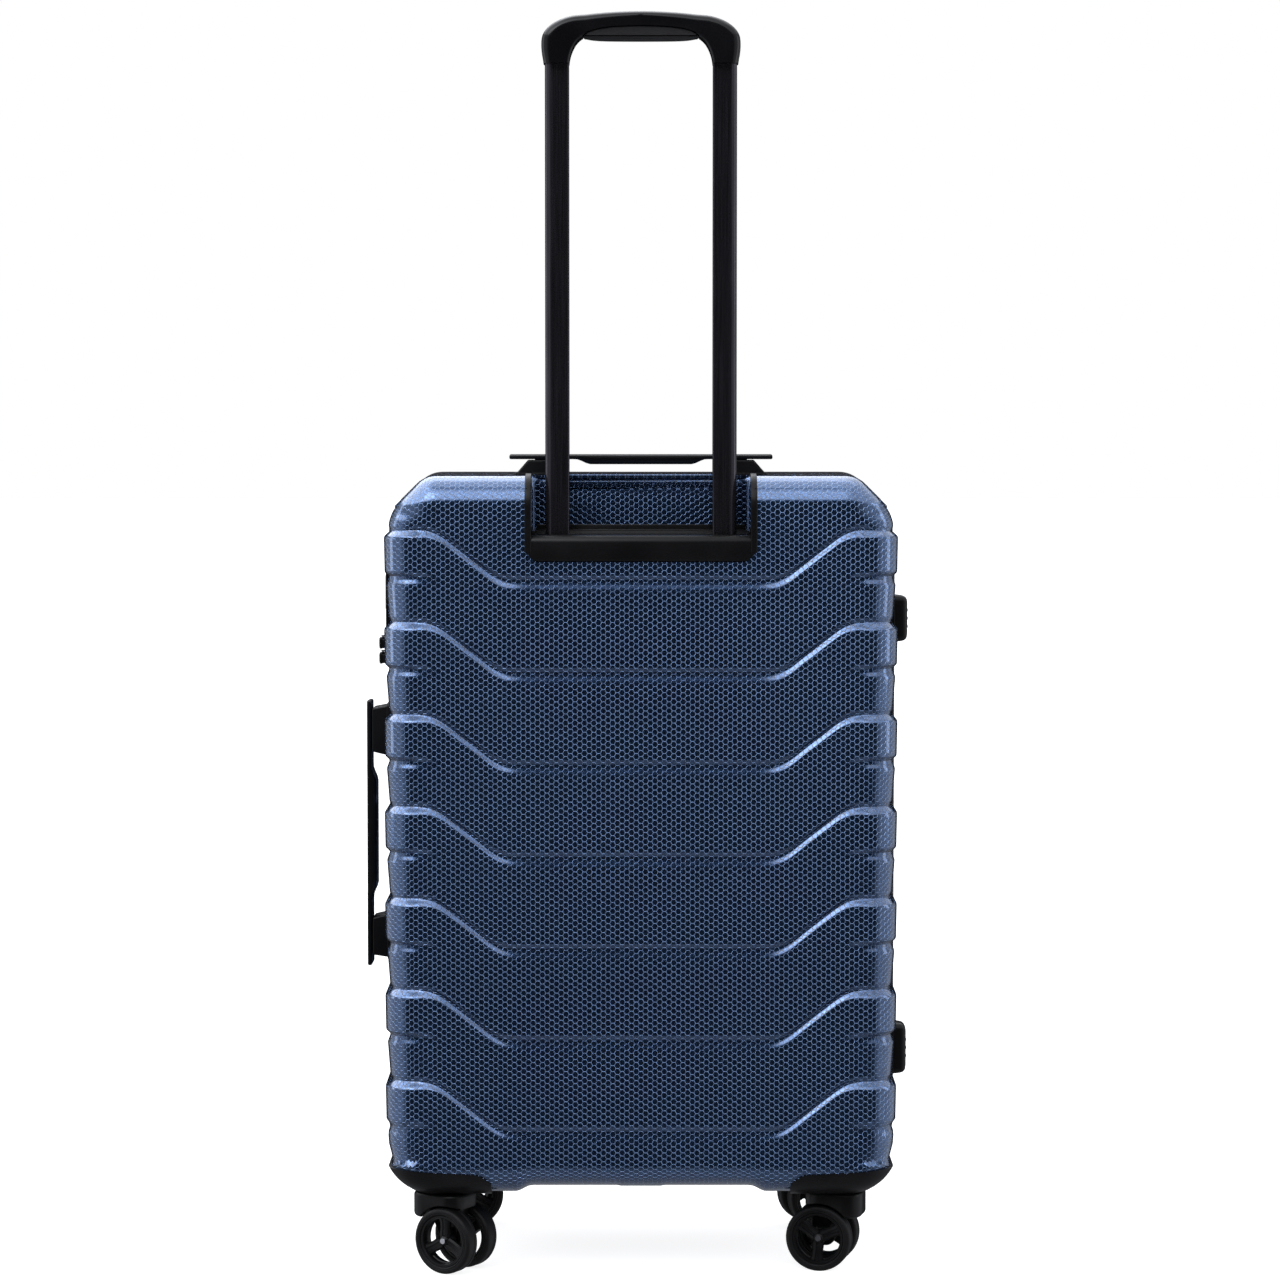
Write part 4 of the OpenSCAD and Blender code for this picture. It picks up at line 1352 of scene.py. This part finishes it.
for i, z in enumerate(PZ):
    # tab with a finger window, an eye round the pin and a hook that goes into the lock
    tab = slab("tab", rounded_poly([(-24.5, z - 5.2), (-1.6, z - 4.2), (-1.6, z + 4.2), (-24.5, z + 5.2)],
            [2.2, 0.6, 0.6, 2.2], 5), 5.9, 8.9, wall_at, M["black"], 0.9, 3)
    tab = soften(boolean(tab,
            solid("c", [[wall_at(a, b, h) for a, b in rrect_pts(5.5, 2.0, 1.6, 5, -11.5, z)] for h in (3,
            12)], M["black"])), 35)
    ridges = [slab("ridge", rrect_pts(0.45, 3.2, 0.4, 3, -20.6 + 1.5 * k, z), 8.6, 9.25, wall_at,
            M["black"], 0.2, 2) for k in range(3)]
    eye = []
    for zz, r in ((z - 4.2, 1.5), (z - 3.9, 1.85), (z + 3.9, 1.85), (z + 4.2, 1.5)):
        eye.append([wall_at(r * math.cos(2 * math.pi * k / 28), zz,
                7.4 + r * math.sin(2 * math.pi * k / 28)) for k in range(28)])
    for zz in (z + 4.2, z - 4.2):
        eye.append([wall_at(1.08 * math.cos(2 * math.pi * k / 28), zz,
                7.4 + 1.08 * math.sin(2 * math.pi * k / 28)) for k in range(28)])
    eye.append(eye[0])
    eye_o = soften(solid("eye", eye, M["black"], caps=False), 35)
    hook = slab("hook", rounded_poly([(-24.3, -1.4), (-22.6, -1.4), (-22.6, 6.4), (-24.3, 6.4)],
            [0.7, 0.3, 0.1, 0.3], 3), z - 3.4, z + 3.4,
                lambda y, h, b: wall_at(y, b, h), M["black"], 0.3, 2)
    o = join("zip_pull_%d" % (i + 1), [tab, eye_o, hook] + ridges)
    use(o, "pull_%d" % (i + 1), "puller_%d" % (i + 1))


# ---------------------------------------------------------------- the zip round the case
def outline_path(grow, pitch):
    """Points, normals and distances round the case's outline seen from behind."""
    w, z0, z1 = HW + grow, Z0 - grow, Z1 + grow
    c = CH + grow * (2 - math.sqrt(2))
    pts = rounded_poly([(-w, z0), (w, z0), (w, z1 - c), (w - c, z1), (-w + c, z1), (-w, z1 - c)],
                       [BR + grow, BR + grow, CR + grow, CR + grow, CR + grow, CR + grow], 14)
    P = np.array(pts + [pts[0]])
    d = np.concatenate([[0], np.cumsum(np.linalg.norm(np.diff(P, axis=0), axis=1))])
    n = int(round(d[-1] / pitch))
    t = np.linspace(0, d[-1], n, endpoint=False)
    Q = np.stack([np.interp(t, d, P[:, 0]), np.interp(t, d, P[:, 1])], 1)
    T = np.roll(Q, -1, 0) - np.roll(Q, 1, 0)
    T /= np.linalg.norm(T, axis=1, keepdims=True)
    nrm = np.stack([T[:, 1], -T[:, 0]], 1)
    Q[:, 1] += floor_lift(Q[:, 0], Q[:, 1]) * (nrm[:, 1] < -0.5)
    return Q, nrm, T


def zip_half(name, sg):
    """Tape, piping and teeth of one side; sg is -1 for the trolley half."""
    Q, N, T = outline_path(0.0, 3.0)
    sec = [(-2.3, 0.5), (0.2, 0.5), (0.55, 0.75), (0.6, 1.4), (0.45, 2.3), (0.62, 2.9)] + \
          [(0.55 + 0.98 * math.sin(a),
          3.85 - 0.98 * math.cos(a)) for a in (math.radians(20 + 140 * i / 6) for i in range(7))] + [(0.1,
                  4.95), (-2.3, 4.95)]
    n = len(Q)
    v = [(q[0] + nn[0] * h + CX, sg * y, q[1] + nn[1] * h) for q, nn in zip(Q, N) for h, y in sec]
    k = len(sec)
    f = [(i * k + j, ((i + 1) % n) * k + j, ((i + 1) % n) * k + (j + 1) % k,
            i * k + (j + 1) % k) for i in range(n) for j in range(k)]
    band = soften(make("band", v, f, M["tape"]), 50)
    # coil teeth: a small rounded tooth every two millimetres, each half turned by one step
    Q, N, T = outline_path(0.0, 1.0)
    v, f = [], []
    for i in range(0 if sg < 0 else 1, len(Q), 2):
        q, nn, tt = Q[i], N[i], T[i]
        if q[0] > HW - 1 and q[1] < 612:
            continue
        b = len(v)
        for y, w, h0, h1 in ((0.14, 0.34, 0.5, 1.25), (0.7, 0.46, 0.3, 1.5), (1.7, 0.46, 0.3, 1.45),
                (2.4, 0.3, 0.3, 0.9)):
            for aa, hh in ((-w, h0), (-w * 0.7, h1 - 0.15), (0, h1), (w * 0.7, h1 - 0.15), (w, h0)):
                p = q + tt * aa + nn * hh
                v.append((p[0] + CX, sg * y, p[1]))
        for j in range(3):
            for m in range(5):
                a, c = b + j * 5 + m, b + j * 5 + (m + 1) % 5
                f.append((a, c, c + 5, a + 5))
        f.append(tuple(b + m for m in range(4, -1, -1)))
        f.append(tuple(b + 15 + m for m in range(5)))
    teeth = soften(make("teeth", v, f, M["teeth"]), 50)
    return join(name, [band, teeth])


M["teeth"] = plastic("zipper_teeth", rgb(24, 24, 27), 0.3, 0.1, 0.05, 900.0)
use(zip_half("zip_back", -1), "case", "zipper_back")
use(zip_half("zip_front", 1), "lid", "zipper_front")


def hinge():
    """Woven strip on the hinge side of the case."""
    a, b = box("hinge_tape")
    ys = np.linspace(-11, 11, 57)
    zs = np.linspace(a[2], b[2], 84)
    v, f = [], []
    nz, ny = len(zs), len(ys)
    for side in (0, 1):
        for z in zs:
            for y in ys:
                rib = 0.16 * math.cos(y * 2 * math.pi / 2.2) + (0.22 if abs(abs(y) - 9.4) < 0.5 else 0)
                e = min(1.0, (11 - abs(y)) / 1.2)
                h = 1.55 + (1.1 + rib) * math.sqrt(max(0.05, e)) if side else 1.55
                v.append((CX + HW + h, y, z))
    for i in range(nz - 1):
        for j in range(ny - 1):
            p = i * ny + j
            f.append((p, p + ny, p + ny + 1, p + 1))
            p += nz * ny
            f.append((p, p + 1, p + ny + 1, p + ny))
    rim = [j for j in range(ny)] + [i * ny + ny - 1 for i in range(1,
            nz)] + [(nz - 1) * ny + j for j in range(ny - 2, -1, -1)] + [i * ny for i in range(nz - 2, 0, -1)]
    for i in range(len(rim)):
        p, q = rim[i], rim[(i + 1) % len(rim)]
        f.append((p, q, q + nz * ny, p + nz * ny))
    return soften(make("hinge_strip", v, f, M["web"]), 60)


strip = hinge()
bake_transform(strip)
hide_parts("hinge_tape")


# ---------------------------------------------------------------- linings, divider, straps and buckle
def inner_outline(inset, bottom, n=8):
    w, z1 = HW - inset, Z1 - inset
    c = CH - inset * (2 - math.sqrt(2))
    return rounded_poly([(-w, bottom), (w, bottom), (w, z1 - c), (w - c, z1), (-w + c, z1), (-w, z1 - c)],
            [22, 22, 18, 18, 18, 18], n)


def resample(pts, n):
    P = np.array(list(pts) + [pts[0]])
    d = np.concatenate([[0], np.cumsum(np.linalg.norm(np.diff(P, axis=0), axis=1))])
    t = np.linspace(0, d[-1], n, endpoint=False)
    return np.stack([np.interp(t, d, P[:, 0]), np.interp(t, d, P[:, 1])], 1)


def ripple(x, y, z):
    """Slow and fine waves of the cloth, in millimetres."""
    slow = (0.45 * math.sin(x * 0.045 + 1.3 * math.sin(z * 0.017))
            * math.sin(z * 0.031 + 0.8 * math.sin(x * 0.013)))
    return slow + 0.25 * math.sin(z * 0.11 + x * 0.07 + y * 0.1)


LIN = 9.8                               # clear of the grooves pressed into the walls


def lining(name, sg, rim_y, floor_y):
    """Sewn cloth tray: walls with a gathered look, a rounded bend where they meet the floor and a bound rim.
    """
    n = 300
    base = resample(inner_outline(LIN, 93.5), n)
    cen = np.array([0.0, 380.0])
    stations = []
    R = 7 if sg < 0 else 26
    for t in np.linspace(0, 1, 12):
        stations.append((rim_y + (floor_y - sg * R - rim_y) * t, 0.0))
    for i in range(1, 9):
        a = math.pi / 2 * i / 8
        stations.append((floor_y - sg * R + sg * R * math.sin(a), R * (1 - math.cos(a))))
    rows = []
    for y, ins in stations:
        row = []
        for x, z in base:
            d = np.array([x, z]) - cen
            L = np.linalg.norm(d)
            wob = 0.35 + 0.3 * math.sin(L * 0.3 + math.atan2(d[1], d[0]) * 46) * min(1, abs(y - rim_y) / 18)
            q = np.array([x, z]) - d / L * (ins + wob)
            row.append((q[0] + CX, y, q[1]))
        rows.append(row)
    last = np.array(rows[-1])
    for k in range(1, 26):
        f = 1 - k / 26
        rows.append([(CX + (x - CX) * f, floor_y - sg * (0.5 + ripple(x * f, 0, z * f)) * min(1, k / 3),
                cen[1] + (z - cen[1]) * f) for x, _, z in last])
    v = [p for r in rows for p in r]
    m = len(rows)
    f = [(i * n + j, i * n + (j + 1) % n, (i + 1) * n + (j + 1) % n,
            (i + 1) * n + j) for i in range(m - 1) for j in range(n)]
    v.append((CX, floor_y - sg * 0.5, cen[1]))
    f += [((m - 1) * n + j, (m - 1) * n + (j + 1) % n, len(v) - 1) for j in range(n)]
    o = make(name, v, f, M["lining"])
    fix_normals(o)
    area = sum(p.area for p in o.data.polygons)
    s = o.modifiers.new("t", "SOLIDIFY")
    s.thickness, s.offset = 0.7 * MM, 0
    apply_mods(o)
    o.data.shade_smooth()
    # bound edge round the rim
    Q = resample(inner_outline(LIN + 0.4, 94.0), 240)
    edge = wire(name + "_binding", [(x + CX, rim_y + sg * 0.9, z) for x, z in Q], 0.9, M["web"], 8, True)
    return o, edge, area


b_lo, b_hi = box("back_lining")
n_lo, n_hi = box("front_lining")
for name, body, sg, y0, y1, node_ in (("lining_back", "case", -1, b_hi[1] - 0.6, b_lo[1] + 0.8,
        "back_lining"),
                                            ("lining_front", "lid", 1, n_lo[1] + 0.6, n_hi[1] - 2.6,
                                            "front_lining")):
    o, edge, area = lining(name, sg, y0, y1)
    use(o, body, node_)
    use(edge, body)


def divider():
    """Stiffened cloth panel with a zipped mesh pocket: crowned, with piping, a zip and stitch lines."""
    lo, hi = box("divider_panel")
    n, m = 220, 30
    base = resample(rounded_poly([(-HW + 6, 92), (HW - 6, 92), (HW - 6, Z1 - 6 - CH + 3.5),
            (HW - CH - 2.5, Z1 - 6), (-HW + CH + 2.5, Z1 - 6), (-HW + 6, Z1 - 6 - CH + 3.5)],
                                 [24, 24, 18, 18, 18, 18], 8), n)
    cen = np.array([0.0, 380.0])
    yc = (lo[1] + hi[1]) / 2
    v, f = [], []
    for side in (-1, 1):
        for k in range(m + 1):
            t = 1 - k / (m + 0.5)
            for x, z in base:
                px, pz = cen + (np.array([x, z]) - cen) * t
                e = min(1.0, (1 - t) * 18)
                # quilted channels every 60 mm up the height
                q = 0.45 * abs(math.cos(pz * math.pi / 60)) ** 0.35
                h = 0.35 + (0.55 + q) * math.sqrt(e)
                if t == 1.0:
                    h = 0.35
                v.append((px + CX, yc + side * h, pz))
    for s in (0, 1):
        o0 = s * (m + 1) * n
        for k in range(m):
            for j in range(n):
                a, b = o0 + k * n + j, o0 + k * n + (j + 1) % n
                f.append((a, b, b + n, a + n) if s else (a, a + n, b + n, b))
        f.append(tuple(o0 + m * n + j for j in (range(n) if s else range(n - 1, -1, -1))))
    for j in range(n):
        a, b, o1 = j, (j + 1) % n, (m + 1) * n
        f.append((a, b, b + o1, a + o1))
    o = soften(make("divider_pad", v, f, M["mesh"]), 60)
    Q = resample(inner_outline(7.2, 93.5), 240)
    parts = [wire("piping", [(x + CX, yc, z) for x, z in Q], 1.25, M["web"], 8, True)]
    # pocket zip: tape, two rows of teeth and its slider
    zz = 520.0
    parts.append(slab("tape", rrect_pts(168, 8, 3, 4, CX, zz), yc - 2.0, yc - 1.4, lambda a, b,
            h: (a, h, b), M["tape"], 0.2, 2))
    tv, tf = [], []
    for i in range(216):
        x = CX - 162 + i * 1.5
        s = 1 if i % 2 else -1
        b = len(tv)
        for a, c, d in ((-0.5, -0.3, 0), (0.5, -0.3, 0), (0.5, 1.9, 0), (-0.5, 1.9, 0), (-0.35, -0.2, 0.8),
                (0.35, -0.2, 0.8), (0.35, 1.6, 0.8), (-0.35, 1.6, 0.8)):
            tv.append((x + a, yc - 2.0 - d, zz + s * c))
        for q in ((0, 1, 2, 3), (4, 5, 6, 7), (0, 1, 5, 4), (1, 2, 6, 5), (2, 3, 7, 6), (3, 0, 4, 7)):
            tf.append(tuple(b + w for w in q))
    parts.append(soften(make("coil", tv, tf, M["teeth"]), 50))
    parts.append(slab("slider",
            rounded_poly([(CX + 150, zz - 4), (CX + 160, zz - 4.5), (CX + 160, zz + 4.5),
            (CX + 150, zz + 4)], 1.8, 4), yc - 4.4, yc - 2.4,
                      lambda a, b, h: (a, h, b), M["gunmetal"], 0.6, 3))
    parts.append(slab("zip_tab",
            rounded_poly([(CX + 156, zz - 1.6), (CX + 159, zz - 3), (CX + 159, zz - 26),
            (CX + 152, zz - 26), (CX + 152, zz - 3)], 1.5, 4), yc - 5.0, yc - 3.9,
                      lambda a, b, h: (a, h, b), M["gunmetal"], 0.4, 2))
    return o, join("divider_trim", parts)


pad, trim = divider()
use(pad, "lid", "divider_panel")
use(trim, "lid")
s_lo2, s_hi2 = box("packing_straps")
u_lo, u_hi = box("strap_buckle")
SZ = (s_lo2[2] + s_hi2[2]) / 2
SY = (s_lo2[1] + s_hi2[1]) / 2
for tag, s in (("left", -1), ("right", 1)):
    xa, xb = (s_lo2[0], CX - 17.5) if s < 0 else (CX + 17.5, s_hi2[0])
    nx, nz = 90, 26
    v, f = [], []
    for side in (-1, 1):
        for i in range(nx + 1):
            t = i / nx
            x = xa + (xb - xa) * t
            sag = 1.0 * math.sin(math.pi * t) + 0.15 * math.sin(t * 31)
            for j in range(nz + 1):
                w = -12.5 + 25 * j / nz
                rib = 0.11 * math.cos(w * 2 * math.pi / 2.1)
                edge = 0.16 if abs(abs(w) - 11.6) < 0.6 else 0.0
                th = (0.55 + rib + edge) * (0.35 if j in (0, nz) else 1)
                v.append((x, SY + side * th - 0.35 * math.sin(math.pi * t) * (w / 12.5) ** 2, SZ + w - sag))
    k = (nx + 1) * (nz + 1)
    for i in range(nx):
        for j in range(nz):
            a = i * (nz + 1) + j
            f.append((a, a + 1, a + nz + 2, a + nz + 1))
            a += k
            f.append((a, a + nz + 1, a + nz + 2, a + 1))
    rim = [j for j in range(nz + 1)] + [i * (nz + 1) + nz for i in range(1,
            nx + 1)] + [nx * (nz + 1) + j for j in range(nz - 1, -1,
            -1)] + [i * (nz + 1) for i in range(nx - 1, 0, -1)]
    for i in range(len(rim)):
        p, q = rim[i], rim[(i + 1) % len(rim)]
        f.append((p, q, q + k, p + k))
    o = soften(make("packing_strap_" + tag, v, f, M["web"]), 60)
    use(o, "case", "packing_straps")


def buckle():
    yb, yt = u_lo[1], u_hi[1]
    P = lambda a, b, h: (CX + a, h, SZ - 0.0 + b)
    parts = []
    body = rounded_poly([(-21.5, -12), (-17, -17.5), (5, -17.5), (8, -13), (8, 13), (5, 17.5), (-17, 17.5),
            (-21.5, 12)], [2, 4, 4, 3, 3, 4, 4, 2], 5)
    o = slab("body", body, yb + 0.6, yt - 0.4, P, M["black"], 1.8, 4)
    for sgn in (-1, 1):
        o = boolean(o, solid("c",
                [[P(a, b, h) for a, b in rrect_pts(6.2, 3.6, 2.4, 6, -2, sgn * 15.6)] for h in (yb - 2,
                yt + 2)], M["black"]))
    o = soften(boolean(o, solid("c",
            [[P(a, b, h) for a, b in rrect_pts(1.5, 13.2, 0.9, 4, -17.4, 0)] for h in (yb - 2, yt + 2)],
            M["black"])), 35)
    parts.append(o)
    tip = rounded_poly([(8.6, -14.5), (21.6, -14.5), (21.6, 14.5), (8.6, 14.5)], [1, 3.5, 3.5, 1], 5)
    o = slab("tip", tip, yb + 0.9, yt - 0.7, P, M["black"], 1.5, 4)
    o = soften(boolean(o, solid("c",
            [[P(a, b, h) for a, b in rrect_pts(1.5, 13.0, 0.9, 4, 17.4, 0)] for h in (yb - 2, yt + 2)],
            M["black"])), 35)
    parts.append(o)
    for sgn in (-1, 1):
        prong = rounded_poly([(8.8, sgn * 8), (8.8, sgn * 12.6), (-1, sgn * 15.2), (-6, sgn * 16.8),
                (-8, sgn * 15.4), (-6, sgn * 13), (0, sgn * 10.4)], 1.0, 4)
        parts.append(slab("prong", prong, yb + 2.6, yt - 2.2, P, M["black"], 0.7, 3))
    parts.append(slab("panel", rounded_poly([(-12, -8), (4, -8), (4, 8), (-12, 8)], 3, 5), yb + 0.25,
            yb + 1.4, P, M["rough"], 0.4, 2))
    return join("strap_buckle_skin", parts)


use(buckle(), "case", "strap_buckle")


def bracket():
    """Foot of the fixed tubes, shaped to the rounded floor of the shell."""
    yz = [(-107.3, 80), (-115.5, 80), (-124.5, 87), (-128.6, 96), (-128.6, 111.5), (-107.3, 111.5)]
    o = profile_x("bracket", yz, -99, 99, M["rough"])
    o = boolean(o, prism_xz("c", [(-52, 60), (52, 60), (52, 130), (-52, 130)], -150, -111, M["rough"]))
    o = round_edges(o, 1.2, 3)
    for s in (-1, 1):
        o = boolean(o, solid("c",
                [[(s * TX + x + CX, TY + y, z) for x, y in rrect_pts(12.3, 8.1, 4, 6)] for z in (85.9,
                140)], M["rough"]))
    parts = [soften(o, 35)]
    for x in (-88, -34, 34, 88):
        parts.append(turned("screw", [(0.01, 0), (3.1, 0), (3.1, 1.0), (2.2, 1.9), (0.01, 2.1)], lambda a,
                b, h: (CX + x + a, -107.3 + h, 96 + b), M["steel"], 24))
    return join("tube_bracket_skin", parts)


use(bracket(), "case", "tube_bracket")

# ---------------------------------------------------------------- finishes for the CAD parts kept as they are
for node_, mat in (("outer_tubes", "alu"), ("tube_glides", "rough"), ("push_rods", "steel"),
        ("lock_pins", "steel")):
    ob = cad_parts[node_]
    ob.data.materials.clear()
    ob.data.materials.append(M[mat])

# ---------------------------------------------------------------- stage
BOX, BOX_LO, BOX_HI, WALLS, ROOM, FLOOR_LIFT = 3.8, 0.38, 0.50, 0.8, 0.008, 0.86

def stage():
    w = bpy.data.worlds.new("studio")
    bpy.context.scene.world = w
    w.use_nodes = True
    t = w.node_tree
    bg = t.nodes["Background"]
    N, L = t.nodes.new, t.links.new

    def ramp(v, lo, hi, a, b):
        x = N("ShaderNodeMapRange")
        x.interpolation_type = "SMOOTHSTEP"
        L(v, x.inputs[0])
        for i, q in zip((1, 2, 3, 4), (lo, hi, a, b)):
            x.inputs[i].default_value = q
        return x.outputs[0]

    def calc(op, a, b=None):
        x = N("ShaderNodeMath")
        x.operation = op
        for i, q in enumerate((a, b)):
            if q is None:
                continue
            if isinstance(q, float):
                x.inputs[i].default_value = q
            else:
                L(q, x.inputs[i])
        return x.outputs[0]
    # a dark room in front and behind, a wide soft box overhead, pale walls to the sides
    co = N("ShaderNodeTexCoord")
    sep = N("ShaderNodeSeparateXYZ")
    L(co.outputs["Generated"], sep.inputs[0])
    x, z = sep.outputs[0], sep.outputs[2]
    over = calc("MULTIPLY", ramp(z, BOX_LO, BOX_HI, 0.0, BOX),
            calc("MULTIPLY", ramp(z, 0.84, 0.98, 1.0, 0.35), ramp(x, -0.35, 0.55, 1.0, 0.4)))
    side = ramp(calc("ABSOLUTE", x), 0.50, 0.88, 0.0, WALLS)
    under = ramp(z, -0.65, -0.25, 0.28, 0.0)
    total = calc("ADD", calc("MAXIMUM", calc("MAXIMUM", over, side), under), ROOM)
    L(total, bg.inputs[1])
    bg.inputs[0].default_value = (0.93, 0.95, 1.0, 1)
    seen = N("ShaderNodeBackground")
    seen.inputs[0].default_value = (1, 1, 1, 1)
    path = N("ShaderNodeLightPath")
    mixer = N("ShaderNodeMixShader")
    L(path.outputs["Is Camera Ray"], mixer.inputs[0])
    L(bg.outputs[0], mixer.inputs[1])
    L(seen.outputs[0], mixer.inputs[2])
    L(mixer.outputs[0], t.nodes["World Output"].inputs[0])
    me = bpy.data.meshes.new("floor")
    s = 60.0
    me.from_pydata([(-s, -s, 0), (s, -s, 0), (s, s, 0), (-s, s, 0)], [], [(0, 1, 2, 3)])
    floor = bpy.data.objects.new("floor", me)
    bpy.context.scene.collection.objects.link(floor)
    g = G("floor_paper")
    n = g.noise(3.0, 2.0, 0.5, g.obj())
    g.set(Base_Color=g.mix(n, (0.36, 0.36, 0.36, 1), (0.40, 0.40, 0.40, 1)), Roughness=0.9)
    g.b.inputs["Specular IOR Level"].default_value = 0.0
    g.b.inputs["Emission Color"].default_value = (1, 1, 1, 1)
    g.b.inputs["Emission Strength"].default_value = FLOOR_LIFT
    me.materials.append(g.m)
    floor.visible_glossy = False        # the case mirrors the dim studio, not the paper

    def area(name, loc, at, size, size_y, power, color=(1, 1, 1)):
        l = bpy.data.lights.new(name, "AREA")
        l.shape = "RECTANGLE"
        l.size, l.size_y = size, size_y
        l.energy = power
        l.color = color
        o = bpy.data.objects.new(name, l)
        o.location = loc
        o.rotation_euler = (Vector(at) - Vector(loc)).to_track_quat("-Z", "Y").to_euler()
        bpy.context.scene.collection.objects.link(o)
    area("key", (-1.2, -1.7, 2.3), (0, 0, 0.6), 1.4, 0.9, 9, (1.0, 0.99, 0.98))
    area("top", (0.1, 0.3, 3.0), (0, 0, 0.5), 2.6, 1.8, 16)
    area("right", (2.3, -0.2, 1.0), (0, 0, 0.5), 0.6, 1.8, 6)
    area("left", (-2.3, 0.2, 1.0), (0, 0, 0.5), 0.6, 1.8, 6)

    cam = bpy.data.cameras.new("camera")
    cam.sensor_width = 36.0
    cam.lens = 101.25
    c = bpy.data.objects.new("camera", cam)
    c.location = (0.0022, -3.135, 0.6885)
    c.rotation_euler = (math.radians(90 - 2.86), 0, 0)
    bpy.context.scene.collection.objects.link(c)
    bpy.context.scene.camera = c


stage()
vs = bpy.context.scene.view_settings
vs.view_transform = "Standard"
